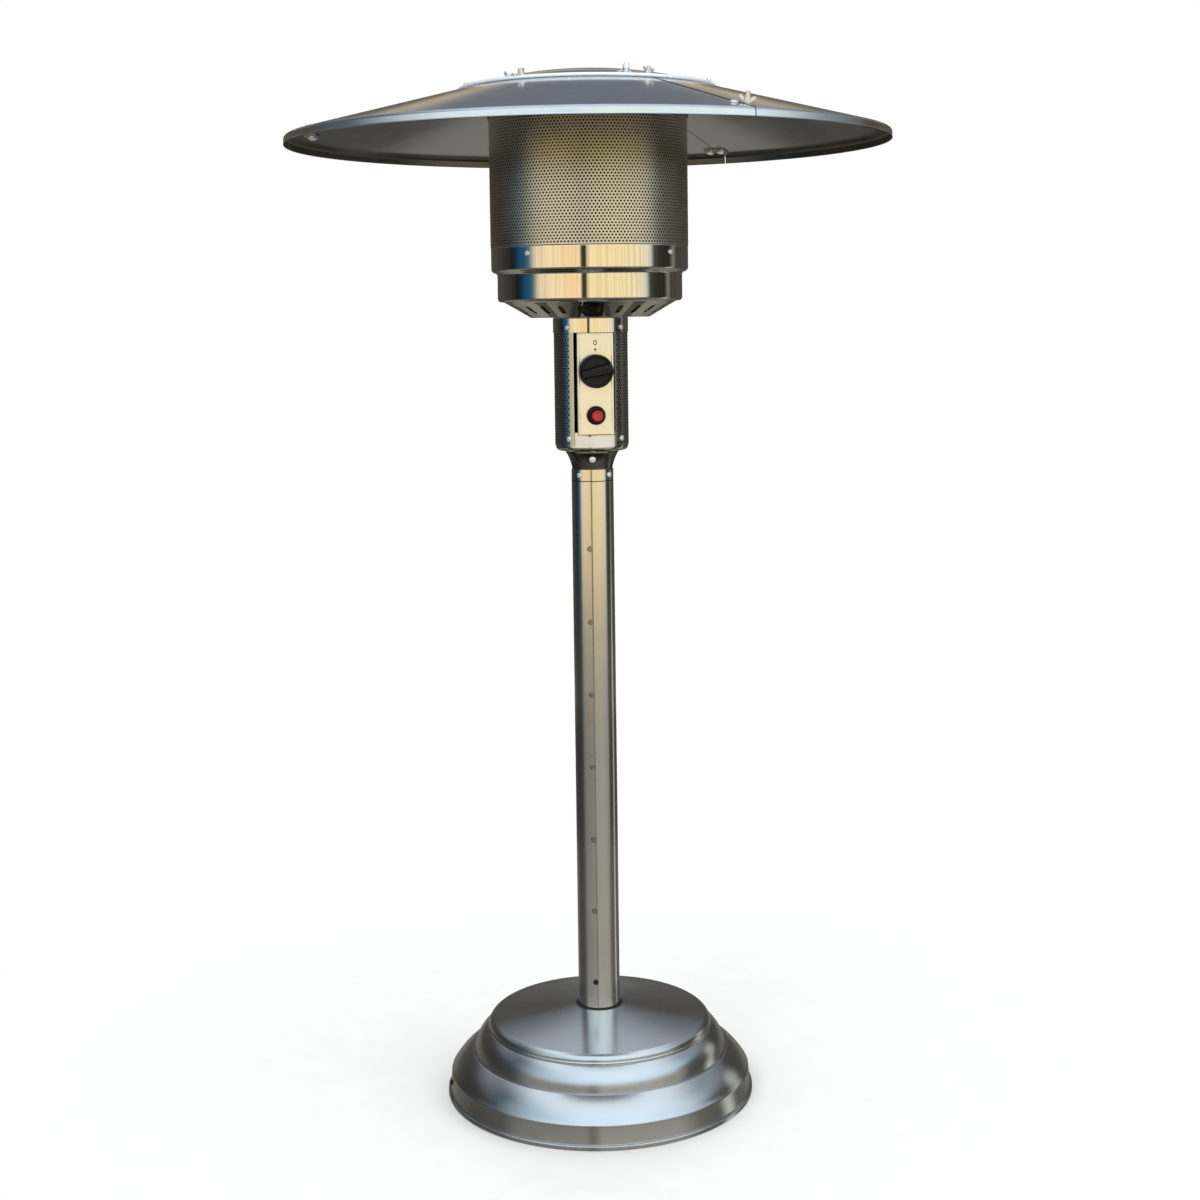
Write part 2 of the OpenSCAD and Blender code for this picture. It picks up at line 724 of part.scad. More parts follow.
module head_bolts() {
    color("#B8BCC0") for (a = cross_angles) turned(a)
        translate([head_bolt_r, 0, bowl_z + bowl_sheet + tiny]) hex_bolt(screw_r, 7, 8, 3.5);
}

module faceplate() {
    color("#D8C9A0") difference() {
        translate([-face_w / 2, -face_y, face_z]) cube([face_w, face_flange, face_h]);
        translate([face_t - face_w / 2, face_t - face_y, face_z - 1])
            cube([face_w - 2 * face_t, face_flange, face_h + 2]);
        frontal(0, face_y - 3, knob_z) cylinder(r = washer_r + 1, h = 6);
        frontal(0, face_y - 3, igniter_z) cylinder(r = barrel_r + fit, h = 6);
    }
}

module name_plate() {
    color("#D5D2CC") translate([0, 0, cup_z + cup_corner + 0.5]) rotate([0, 0, sleeve_right - 92])
        rotate_extrude(angle = 4 - sleeve_left - sleeve_right, $fn = 72)
            translate([cup_r + tiny, 0]) square([name_t, name_h]);
}

module panel_bracket() {
    low_z = cup_z + cup_sheet + step;
    high_z = top_ring_top_z - 1.2 - step;
    color("#7D8083") difference() {
        union() {
            translate([-web_w / 2, -web_y, low_z]) cube([web_w, web_t, high_z - low_z]);
            translate([-web_w / 2, -web_y, low_z]) cube([web_w, tab_d, web_t]);
            translate([-web_w / 2, -web_y, high_z - web_t]) cube([web_w, tab_d, web_t]);
            for (side = [-1, 1]) translate([side * (valve_w / 2 + 2.6) - web_t / 2, -web_y, face_z + 2])
                cube([web_t, leg_d, face_h - 4]);
        }
        frontal(0, web_y - 3, knob_z) cylinder(r = bonnet_r + fit, h = 6);
        frontal(0, web_y - 3, igniter_z) cylinder(r = barrel_r + fit, h = 6);
        translate([0, 0, high_z - 3]) cylinder(r = top_ring_bore_r - 14, h = 6);
    }
}

module gas_valve() {
    color("#B59A5B") difference() {
        union() {
            translate([-valve_w / 2, -valve_front_y, knob_z - valve_low])
                cube([valve_w, valve_front_y + valve_back_y, valve_low + valve_high]);
            frontal(0, valve_front_y - 1, knob_z)
                cylinder(r = bonnet_r, h = bonnet_front_y - valve_front_y + 1);
            translate([0, 0, knob_z - valve_low - inlet_boss_h])
                cylinder(r = inlet_boss_r, h = inlet_boss_h + 1);
        }
        frontal(0, stem_back_y - knob_travel - 1, knob_z) cylinder(r = stem_r + fit, h = 40);
    }
}

module stem_washer() {
    color("#C8CBCD") frontal(0, washer_y, knob_z) ring(washer_r, stem_r + fit, washer_t);
}

module valve_stem() {
    color("#A8ABAD") frontal(0, stem_back_y, knob_z) cylinder(r = stem_r, h = stem_front_y - stem_back_y);
}

module knob() {
    color("#1B1A19") frontal(0, knob_back_y, knob_z) difference() {
        union() {
            rotate_extrude() polygon([[0, 0], [knob_r, 0], [knob_r, knob_h - 2.5],
                [knob_r - 0.8, knob_h - 0.8], [knob_r - 2.2, knob_h], [0, knob_h]]);
            rotate([0, 0, grip_angle]) intersection() {
                translate([0, 0, knob_h - 1]) linear_extrude(grip_h + 1)
                    polygon([[-knob_r, -4.2], [knob_r, -6.8], [knob_r, 6.8], [-knob_r, 4.2]]);
                translate([0, 0, knob_h - 2]) cylinder(r1 = knob_r - 0.6, r2 = knob_r - 2.4, h = grip_h + 4);
            }
        }
        translate([0, 0, -1]) cylinder(r = stem_r + fit, h = stem_front_y - knob_back_y + 1.2);
    }
}

module igniter_body() {
    color("#141414") frontal(0, barrel_back_y, igniter_z) difference() {
        union() {
            cylinder(r = barrel_r, h = face_y - barrel_back_y + 1);
            translate([0, 0, face_y - barrel_back_y + tiny]) rotate_extrude() polygon([[0, 0],
                [bezel_r, 0], [bezel_r, bezel_h - 3], [bezel_r - 2.6, bezel_h], [0, bezel_h]]);
        }
        translate([0, 0, face_y - barrel_back_y + bezel_h - button_depth - button_travel - 1])
            cylinder(r = button_r + fit, h = 40);
    }
}

module igniter_button() {
    color("#B3262B") frontal(0, face_y + bezel_h - button_depth, igniter_z) rotate_extrude() polygon([
        [0, 0], [button_r, 0], [button_r, button_depth + button_out - 1.5],
        [button_r - 1.5, button_depth + button_out], [button_r - 3, button_depth + button_out - 0.4],
        [0, button_depth + button_out - 0.6]]);
}

module igniter_wire() {
    route = [[0, 1 - barrel_back_y, igniter_z], [-5, -9, igniter_z + 1], [-14, -5, igniter_z + 7],
        [-25, 5, igniter_z + 22], [-29, 14, igniter_z + 52], [-26, 18, igniter_z + 92],
        [-24, 20, bowl_z - 6], [-22, 24, bowl_z + 14], [0, 48, bowl_z + 30],
        [30, 64, bowl_z + 38], [44, 65, bowl_z + 42], [electrode_at[0], electrode_at[1], bowl_z + 49.8]];
    color("#B8342C") swept(smooth_route(route, 4), wire_r, 8, [0.2, -1, 0]);
}

module igniter_electrode() {
    color("#E8E2D6") translate([electrode_at[0], electrode_at[1], bowl_z + 50]) {
        cylinder(r = 3.4, h = shelf_z - bowl_z - 50 + 20);
        cylinder(r = 1, h = shelf_z - bowl_z - 50 + 30);
    }
}

module tilt_switch() {
    color("#2A2C30") translate([valve_w / 2 + 2.6 + web_t / 2 + step, -28, knob_z - valve_low - 40])
        cube([11, 18, 26]);
}

module thermocouple() {
    route = [[12, valve_back_y + tiny, knob_z + 3], [12, 15, knob_z + 3], [13, 22, knob_z + 10],
        [17, 25, knob_z + 38], [18, 25, bowl_z], [24, 28, bowl_z + 19], [46, 36, bowl_z + 38],
        [66, 43, bowl_z + 50], [couple_at[0], couple_at[1], bowl_z + 58],
        [couple_at[0], couple_at[1], shelf_z + 26]];
    color("#B87333") swept(smooth_route(route, 4), lead_r, 8, [-0.6, 1, 0]);
}

module pilot_tube() {
    route = [[-10, valve_back_y + tiny, knob_z + 12], [-10, 16, knob_z + 12], [-9, 24, knob_z + 20],
        [-6, 29, knob_z + 44], [-6, 30, bowl_z], [4, 34, bowl_z + 17], [34, 44, bowl_z + 33],
        [54, 51, bowl_z + 44], [pilot_at[0], pilot_at[1], bowl_z + 54],
        [pilot_at[0], pilot_at[1], shelf_z + burner_plate_t]];
    color("#A9ACAE") swept(smooth_route(route, 4), pilot_r, 8, [-0.7, 1, 0]);
}

module pilot_burner() {
    color("#8A8D90") translate([pilot_at[0] - 7, pilot_at[1] - 5, shelf_z + burner_plate_t + tiny])
        cube([14, 10, 15]);
}

module main_jet() {
    color("#C9A24B") translate([0, 0, knob_z + valve_high + tiny]) difference() {
        cylinder(r = jet_r, h = jet_h);
        translate([0, 0, 2]) cylinder(r = 1, h = jet_h);
    }
}

module venturi_tube() {
    pot_floor_z = shelf_z + burner_plate_t - pot_depth;
    color("#85888B") difference() {
        union() {
            translate([0, 0, venturi_z])
                ring(venturi_r, venturi_r - venturi_wall, pot_floor_z - venturi_z + 6);
            translate([0, 0, pot_floor_z - 1.5 - tiny]) ring(venturi_r + 7, venturi_r - 0.5, 1.5);
        }
        for (a = [0, 90, 180, 270]) radial(a, venturi_r - 4, venturi_z + 14) cylinder(r = 5, h = 8);
    }
}

// The burner's pot, and the ring on the bowl's floor that keeps draughts off it
module burner_pot() {
    top_z = shelf_z + burner_plate_t + tiny;
    color("#6A6C6E") rotate_extrude() polygon([
        [pot_r + pot_flange_w, top_z], [pot_r + pot_flange_w, top_z + pot_sheet],
        [pot_r - pot_sheet, top_z + pot_sheet], [pot_r - pot_sheet, top_z - pot_depth + 5],
        [pot_r - pot_sheet - 3.5, top_z - pot_depth + pot_sheet],
        [venturi_r + fit, top_z - pot_depth + pot_sheet], [venturi_r + fit, top_z - pot_depth],
        [pot_r - 4, top_z - pot_depth], [pot_r, top_z - pot_depth + 4], [pot_r, top_z]]);
    color("#4A4742") translate([0, 0, bowl_z + bowl_sheet + tiny]) ring(guard_r, guard_r - guard_t, guard_h);
}

module burner_gauze() {
    z = shelf_z + burner_plate_t + pot_sheet + 2 * tiny;
    r = pot_r + pot_flange_w - 2;
    color("#97928A") rotate_extrude() polygon(concat(
        bulge([0, z + gauze_rise], [r - 6, z + 1], 1, 6), [[r, z + 1], [r, z], [r - 6, z]],
        [for (p = bulge([r - 6.5, z], [0, z + gauze_rise - 1], -1, 6)) p]));
}

module burner_plate() {
    line = [[burner_plate_r, shelf_z + burner_rim_h], [burner_plate_r, shelf_z], [pot_r + 1, shelf_z]];
    color("#8F8B84") difference() {
        rotate_extrude() polygon(sheet_outline(line, burner_plate_t));
        for (a = cross_angles) radial(a, burner_plate_r - 4, band_screw_z)
            cylinder(r = small_screw_r + fit, h = 8);
        translate([electrode_at[0], electrode_at[1], shelf_z - 1]) cylinder(r = 3.4 + fit, h = 4);
        translate([couple_at[0], couple_at[1], shelf_z - 1]) cylinder(r = lead_r + 0.2, h = 4);
        translate([pilot_at[0], pilot_at[1], shelf_z - 1]) cylinder(r = pilot_r + 0.2, h = 4);
    }
}

module air_slot() {
    linear_extrude(12) {
        square([slot_l - slot_w, slot_w], center = true);
        for (side = [-1, 1]) translate([side * (slot_l - slot_w) / 2, 0]) circle(d = slot_w);
    }
}

module head_bowl() {
    line = concat(
        [[band_r - joggle, band_top_z + joggle_h], [band_r - joggle, band_top_z + joggle],
         [band_r, band_top_z], [band_r, upper_band_z]],
        bulge([band_r - 0.6, upper_band_z - 1.6], [lower_band_r + 2.2, step_z + 2.6], 0.9, 4),
        [[lower_band_r + 0.4, step_z + 0.8], [lower_band_r, step_z - 1], [lower_band_r, lower_band_z]],
        [[lower_band_r - 0.9, lower_band_z - 2.4], [lower_band_r - 2.8, lower_band_z - 3.8],
         [bowl_shelf_r, bowl_z + bowl_cone_h], [bowl_flat_r, bowl_z], [bowl_bore_r, bowl_z]]);
    cone_a = atan((bowl_cone_h) / (bowl_shelf_r - bowl_flat_r));
    color("#4A443B") difference() {
        rotate_extrude($fn = 144) polygon(sheet_outline(line, bowl_sheet));
        for (i = [0 : slot_count - 1]) turned(360 * i / slot_count)
            translate([slot_mid_r, 0, bowl_z + bowl_cone_h / 2]) rotate([0, -cone_a, 0])
                translate([0, 0, -6]) air_slot();
        for (a = cross_angles) {
            radial(a, band_r - 4, band_screw_z) cylinder(r = small_screw_r + fit, h = 8);
            turned(a) translate([head_bolt_r, 0, bowl_z - 3]) cylinder(r = screw_r + fit, h = 6);
        }
    }
}

module band_screws() {
    color("#DDDFE0") for (a = cross_angles) radial(a, band_r + tiny, band_screw_z)
        pan_screw(small_screw_r, 6, small_head_r, small_head_h);
}

module emitter_screen() {
    color("#8B8474") translate([0, 0, screen_z]) ring(screen_r, screen_r - screen_t, emitter_h);
}

module emitter_cap() {
    line = [[0, screen_top_z + cap_t + tiny], [screen_r + seat, screen_top_z + cap_t + tiny],
        [screen_r + seat + cap_t, screen_top_z], [screen_r + seat + cap_t, screen_top_z - cap_rim_h]];
    color("#77726A") difference() {
        rotate_extrude() polygon(concat(line, [[screen_r + seat, screen_top_z - cap_rim_h],
            [screen_r + seat, screen_top_z + tiny], [0, screen_top_z + tiny]]));
        for (a = [0, 120, 240]) turned(seam_angle + a) translate([stud_circle_r, 0, screen_top_z - 1])
            cylinder(r = m6_hole_r, h = 4);
    }
}

// Height of the centre disc's upper face at radius r
function disc_z(r) = disc_edge_z + dome_h * (1 - r * r / (disc_r * disc_r));
stud_nut_z = disc_z(stud_circle_r - nut_r) + 0.2;
// How far above the cone a nut on the disc's edge sits
disc_nut_lift = 0.2 + cos(cone_tilt) * (disc_z(disc_bolt_r - nut_r) - brim_top_z
    - (shoulder_r - disc_bolt_r + nut_r) * cone_rise);

module reflector_studs() {
    color("#C8CBCD") for (a = [0, 120, 240]) turned(seam_angle + a) translate([stud_circle_r, 0, 0]) {
        translate([0, 0, screen_top_z - 4.5]) cylinder(r = 10 / sqrt(3), h = 4.5, $fn = 6);
        translate([0, 0, screen_top_z - 1]) cylinder(r = m6_r, h = stud_nut_z + nut_h + 3 - screen_top_z);
    }
}

module stud_spacers() {
    low_z = screen_top_z + cap_t + 2 * tiny;
    color("#9EA1A3") for (a = [0, 120, 240]) turned(seam_angle + a) translate([stud_circle_r, 0, low_z])
        ring(spacer_r, m6_hole_r, disc_z(stud_circle_r + spacer_r) - reflector_t - 0.25 - low_z);
}

module reflector_disc() {
    rings = 10;
    line = [for (i = [0 : rings]) let (r = disc_r * i / rings) [r, disc_z(r)]];
    color("#7F8A94") difference() {
        rotate_extrude($fn = 180) {
            polygon(sheet_outline(line, reflector_t));
            translate([disc_r, disc_edge_z - reflector_t / 2 + 0.5]) circle(r = disc_bead_r, $fn = 24);
        }
        for (a = [0, 120, 240]) turned(seam_angle + a)
            translate([stud_circle_r, 0, disc_z(stud_circle_r) - 4]) cylinder(r = m6_hole_r, h = 8);
        for (a = [0 : 60 : 300]) on_cone(seam_angle + a, disc_bolt_r)
            translate([0, 0, -4]) cylinder(r = m6_hole_r, h = 10);
    }
}

module reflector_segment(start) {
    inner_z = brim_top_z + (shoulder_r - segment_inner_r) * cone_rise;
    line = concat([[segment_inner_r, inner_z], [shoulder_r, brim_top_z]],
        [[reflector_r - 1, brim_top_z - 1.2], [reflector_r, brim_top_z - brim_round],
         [reflector_r, brim_z + 1.4], [reflector_r + 0.6, brim_z + 0.7], [reflector_r, brim_z]]);
    difference() {
        rotate([0, 0, start - 90]) rotate_extrude(angle = 120, $fn = 180)
            polygon(sheet_outline(line, reflector_t));
        for (a = [start, start + 120]) turned(a)
            translate([0, -seam_gap / 2, brim_z - 10]) cube([reflector_r + 10, seam_gap, 200]);
        for (a = [start, start + 60, start + 120]) on_cone(a, disc_bolt_r)
            translate([0, 0, -5]) cylinder(r = m6_hole_r, h = 10);
        for (a = [start, start + 120], side = [-1, 1]) on_cone(a, seam_bolt_r, side * seam_bolt_side)
            translate([0, 0, -5]) cylinder(r = m6_hole_r, h = 10);
    }
}

module reflector_segment_1() { color("#8E979E") reflector_segment(seam_angle); }
module reflector_segment_2() { color("#89929A") reflector_segment(seam_angle + 120); }
module reflector_segment_3() { color("#939CA3") reflector_segment(seam_angle + 240); }

// Bolt from below: its head lies under the sheets and its thread stands l above the cone
module upward_bolt(head_top, l) {
    translate([0, 0, -head_top - bolt_cap_h]) cylinder(r = bolt_cap_r, h = bolt_cap_h);
    translate([0, 0, -head_top - 1]) cylinder(r = m6_r, h = head_top + 1 + l);
}

module reflector_bolts() {
    color("#C9CCCE") {
        for (a = [0 : 60 : 300]) on_cone(seam_angle + a, disc_bolt_r)
            upward_bolt(reflector_t + 0.2, disc_bolt_l);
        for (a = [0, 120, 240]) {
            on_cone(seam_angle + a, seam_bolt_r, seam_bolt_side)
                upward_bolt(reflector_t + strap_t + 0.4, seam_bolt_l);
            on_cone(seam_angle + a, seam_bolt_r, -seam_bolt_side) {
                upward_bolt(reflector_t + strap_t + 0.4, 1);
                translate([0, 0, 0.3]) rotate_extrude() polygon([[0, 0], [bolt_cap_r, 0],
                    [bolt_cap_r, 0.8], [bolt_cap_r - 1.2, 2], [bolt_cap_r - 2.8, 2.6], [0, 2.8]]);
            }
        }
    }
}

module seam_straps() {
    color("#9A9DA0") for (a = [0, 120, 240]) on_cone(seam_angle + a, seam_bolt_r)
        translate([0, 0, -reflector_t - strap_t - 0.25]) difference() {
            translate([-strap_d / 2, -strap_w / 2, 0]) cube([strap_d, strap_w, strap_t]);
            for (side = [-1, 1]) translate([0, side * seam_bolt_side, -1])
                cylinder(r = m6_hole_r, h = strap_t + 2);
        }
}

module wing_nuts() {
    color("#E3E5E6") {
        for (a = [0, 120, 240]) {
            turned(seam_angle + a) translate([stud_circle_r, 0, stud_nut_z])
                rotate([0, 0, 60]) wing_nut();
            on_cone(seam_angle + a, seam_bolt_r, seam_bolt_side) translate([0, 0, 0.3])
                rotate([0, 0, 35]) wing_nut();
        }
        for (a = [0 : 60 : 300]) on_cone(seam_angle + a, disc_bolt_r) translate([0, 0, disc_nut_lift])
            rotate([0, 0, 10]) wing_nut();
    }
}

foot_pads();
base_plate();
ballast_weight();
base_bolts();
post_flange();
base_screws();
outer_post();
base_cover();
cover_lugs();
post_grommet();
guide_bush();
gas_pipe();
inlet_nipple();
gas_hose();
lock_screw();
inner_tube();
lock_nut();
glide_ring();
post_collar();
collar_screws();
neck();
neck_screws();
housing_cup();
perforated_sleeve();
housing_top_ring();
housing_screws();
head_bolts();
faceplate();
name_plate();
panel_bracket();
gas_valve();
stem_washer();
valve_stem();
knob();
igniter_body();
igniter_button();
igniter_wire();
igniter_electrode();
tilt_switch();
thermocouple();
pilot_tube();
pilot_burner();
main_jet();
venturi_tube();
burner_pot();
burner_gauze();
burner_plate();
head_bowl();
band_screws();
emitter_screen();
emitter_cap();
reflector_studs();
stud_spacers();
reflector_disc();
reflector_segment_1();
reflector_segment_2();
reflector_segment_3();
reflector_bolts();
seam_straps();
wing_nuts();
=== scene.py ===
import math

import bpy
import numpy as np
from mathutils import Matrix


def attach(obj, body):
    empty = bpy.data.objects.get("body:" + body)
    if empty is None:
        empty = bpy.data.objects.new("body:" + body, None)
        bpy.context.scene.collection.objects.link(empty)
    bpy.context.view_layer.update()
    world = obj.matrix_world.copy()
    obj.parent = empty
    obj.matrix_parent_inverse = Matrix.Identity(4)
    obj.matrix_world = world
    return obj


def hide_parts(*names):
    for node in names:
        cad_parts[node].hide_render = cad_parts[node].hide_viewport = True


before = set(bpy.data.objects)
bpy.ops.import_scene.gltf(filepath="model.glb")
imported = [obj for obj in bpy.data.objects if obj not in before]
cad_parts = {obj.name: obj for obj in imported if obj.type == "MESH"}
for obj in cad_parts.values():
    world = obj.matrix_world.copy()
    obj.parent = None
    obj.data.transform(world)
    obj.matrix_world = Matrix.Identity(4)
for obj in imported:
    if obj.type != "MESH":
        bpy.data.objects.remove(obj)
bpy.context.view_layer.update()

# Shapes are in millimetres and degrees, with the construction's own sizes; the studio is in metres.
# Angles round the post count from the control panel, positive to the panel's right.
ROUND = 192  # steps of a full turn
CAMERA_TURN = 8.0
SEAM = 21.0  # angle of the first seam between the reflector's segments; the others follow at 120 degrees
HOLE = 3.0  # diameter of the holes in the emitter and the sleeve
SLEEVE_BORDER = (1.6, 6.0)  # plain border at the start and the end of a sheet that doesn't close
PANEL_FACE = -43.5  # the sunk face of the faceplate
KNOB_LEVEL = 996.65
IGNITER_LEVEL = 937.65


def linear(colour):
    """One sRGB hex colour as linear red, green, blue and alpha."""
    part = np.array([int(colour[i:i + 2], 16) for i in (1, 3, 5)]) / 255
    curve = np.where(part <= 0.04045, part / 12.92, ((part + 0.055) / 1.055) ** 2.4)
    return tuple(float(c) for c in curve) + (1.0,)


def add(tree, kind, inputs=(), stops=(), **settings):
    """Adds one shader node: its settings, its ramp's stops, and for each input a value or a socket."""
    node = tree.nodes.new("ShaderNode" + kind)
    for name, value in settings.items():
        setattr(node, name, value)
    for i, (place, colour) in enumerate(stops):
        stop = node.color_ramp.elements[i] if i < 2 else node.color_ramp.elements.new(place)
        stop.position = place
        stop.color = linear(colour)
    for name, value in dict(inputs).items():
        if isinstance(value, bpy.types.NodeSocket):
            tree.links.new(value, node.inputs[name])
        else:
            node.inputs[name].default_value = value
    return node


def bulge(p, q, rise, count=8):
    """Points from p to q plus a parabola that stands out by rise at the middle, to the left of the way."""
    p, q = np.array(p, float), np.array(q, float)
    way = q - p
    side = np.array([-way[1], way[0]]) / np.hypot(*way)
    t = np.linspace(0, 1, count + 1)[:, None]
    return p + t * way + 4 * rise * t * (1 - t) * side


def eased(line, reach=0.8, count=3, least=14.0):
    """Rounds the corners of a line that turn by more than least degrees: each is cut back by reach, or by
    0.45 of its shorter leg, and closed by the quadratic curve whose middle point is the corner. A point on
    each leg, 0.6 of reach past the cut, keeps the shading of the long flats flat."""
    line = np.array(line, float)
    corner = line[1:-1]
    back, on = line[:-2] - corner, line[2:] - corner
    back_l, on_l = np.linalg.norm(back, axis=1), np.linalg.norm(on, axis=1)
    turn = 180 - np.degrees(np.arccos(np.clip((back * on).sum(1) / (back_l * on_l), -1, 1)))
    cut = np.where(turn > least, np.minimum(reach, 0.45 * np.minimum(back_l, on_l)), 0)
    a = (corner + back * (cut / back_l)[:, None])[:, None]
    b = (corner + on * (cut / on_l)[:, None])[:, None]
    hold_a, hold_b = (np.where(cut > 0, np.minimum(cut + 0.6 * reach, 0.49 * leg), 0) / leg
                      for leg in (back_l, on_l))
    t = np.linspace(0, 1, count + 1)[None, :, None]
    curve = (1 - t) ** 2 * a + 2 * t * (1 - t) * corner[:, None] + t * t * b
    curve = np.concatenate([(corner + back * hold_a[:, None])[:, None], curve,
                            (corner + on * hold_b[:, None])[:, None]], 1)
    whole = np.vstack([line[:1], curve.reshape(-1, 2), line[-1:]])
    apart = np.r_[True, np.linalg.norm(np.diff(whole, axis=0), axis=1) > 1e-4]
    return whole[apart]


def moved(line, t):
    """The line moved t to its right: each corner goes along the sum of its two legs' normals, but not past
    the axis."""
    leg = np.diff(line, axis=0)
    right = np.stack([leg[:, 1], -leg[:, 0]], 1) / np.linalg.norm(leg, axis=1)[:, None]
    a, b = np.vstack([right[:1], right]), np.vstack([right, right[-1:]])
    out = line + t * (a + b) / (1 + (a * b).sum(1))[:, None]
    out[:, 0] = np.maximum(out[:, 0], 0)
    return out


def sheet_outline(line, t):
    """Closed outline of a sheet: the line, and back along the same line moved t to its right."""
    line = np.array(line, float)
    return np.vstack([line, moved(line, t)[::-1]])


def lathed(outline, start=0.0, stop=360.0, steps=ROUND, slit=0.0, skip=()):
    """A closed outline of radius and height carried round the post's axis from start to stop. The solid is
    to the right of the outline's way. slit is the open width at each end, the same at every radius. Legs
    in skip get no faces. Returns the points and the faces."""
    outline = np.array(outline, float)
    count = len(outline)
    r, z = outline[:, 0], outline[:, 1]
    lost = np.degrees(np.arcsin(np.clip(slit / 2 / np.maximum(r, 1), 0, 1)))
    t = np.linspace(0, 1, steps + 1)[:, None]
    a = np.radians(start + lost + t * (stop - start - 2 * lost))
    points = np.stack([r * np.sin(a), -r * np.cos(a), z + 0 * a], -1).reshape(-1, 3)
    i, j = np.meshgrid(np.arange(steps), [k for k in range(count) if k not in skip], indexing="ij")
    k = (j + 1) % count
    near, far = i * count, (i + 1) * count
    faces = [np.stack([near + j, near + k, far + k, far + j], -1).reshape(-1, 4)]
    if stop - start < 359.9:
        faces += [np.arange(count)[None, ::-1], steps * count + np.arange(count)[None, :]]
    return points, faces


def pierced(cell, hole, place):
    """Sheet cells with one hole each: a ring of quads between cell and hole outline on both faces, and the
    hole's wall between the faces. place turns sheet points and a depth, 0 or 1, into space."""
    cells, count = cell.shape[:2]
    points = np.stack([place(cell, 0), place(hole, 0), place(cell, 1), place(hole, 1)], 1).reshape(-1, 3)
    at = (np.arange(cells) * 4 * count)[:, None]
    k = np.arange(count)[None, :]
    n = (k + 1) % count
    outer, rim, inner, rim_in = at, at + count, at + 2 * count, at + 3 * count
    faces = [np.stack(q, -1).reshape(-1, 4) for q in (
        (outer + k, outer + n, rim + n, rim + k),
        (rim + k, rim + n, rim_in + n, rim_in + k),
        (inner + n, inner + k, rim_in + k, rim_in + n))]
    return points, faces


def perforated(radius, wall, rows, columns, pitch_z, low, first, high, shift=0, start=None, stop=None):
    """A rolled sheet with staggered round holes, rows up and columns round. The sheet is a lattice of half
    pitches round the axis and half rows up, from first, inside the edges low and high. Every hole takes the
    four lattice fields round its centre, with eight points on its edge, and the fields left over are plain,
    as are the borders. shift is 1 where the lowest row is a staggered one. Without start and stop the sheet
    closes round the axis."""
    full = start is None
    span = 360.0 if full else stop - start
    border = 0 if full else 1
    edge = 0.0 if full else np.degrees(SLEEVE_BORDER[0] / radius)
    end = 0.0 if full else np.degrees(SLEEVE_BORDER[1] / radius)
    half = (span - edge - end) / (2 * columns)
    begin = 0.0 if full else start
    us = begin + edge + half * np.arange(2 * columns + 1)
    us = us if full else np.r_[start, us, stop]
    vs = np.r_[low, first + pitch_z / 2 * np.arange(2 * rows + 1), high]
    row, column = np.meshgrid(np.arange(rows), np.arange(columns), indexing="ij")
    odd = (row + shift) % 2
    kept = (odd == 0) | full | (column < columns - 1)
    ku, kv = (border + 2 * column + 1 + odd)[kept], (2 * row + 2)[kept]
    centre_u = begin + edge + half * (ku - border)
    centre_v = vs[kv]
    du, dv = np.array([-1, 0, 1, 1, 1, 0, -1, -1]), np.array([-1, -1, -1, 0, 1, 1, 1, 0])
    round_a = np.radians([225, 270, 315, 0, 45, 90, 135, 180])
    cell = np.stack([centre_u[:, None] + half * du, centre_v[:, None] + pitch_z / 2 * dv], -1)
    hole = np.stack([centre_u[:, None] + np.degrees(HOLE / 2 * np.cos(round_a) / radius),
                     centre_v[:, None] + HOLE / 2 * np.sin(round_a)], -1)

    def place(q, depth):
        a, r = np.radians(q[..., 0]), radius - wall * depth
        return np.stack([r * np.sin(a), -r * np.cos(a), q[..., 1]], -1)

    points, faces = pierced(cell, hole, place)
    wide, tall = len(us) - 1, len(vs) - 1
    plain = np.ones((tall, wide), bool)
    for side in (-1, 0):
        for level in (-1, 0):
            plain[kv + level, (ku + side) % wide if full else ku + side] = False
    v, u = np.nonzero(plain)
    grid = np.stack(np.meshgrid(us, vs), -1)
    count = len(points)
    size = grid.shape[0] * grid.shape[1]
    line = len(us)
    a = count + v * line + u
    b = a + size
    faces.append(np.stack([a, a + 1, a + line + 1, a + line], -1))
    faces.append(np.stack([b + line, b + line + 1, b + 1, b], -1))
    k = count + np.arange(wide)
    m = k + tall * line
    faces.append(np.stack([k + size, k + size + 1, k + 1, k], -1))
    faces.append(np.stack([m, m + 1, m + size + 1, m + size], -1))
    if not full:
        k = count + np.arange(tall) * line
        m = k + wide
        faces.append(np.stack([k + line, k + line + size, k + size, k], -1))
        faces.append(np.stack([m, m + size, m + line + size, m + line], -1))
    points = np.vstack([points, place(grid, 0).reshape(-1, 3), place(grid, 1).reshape(-1, 3)])
    return points, faces


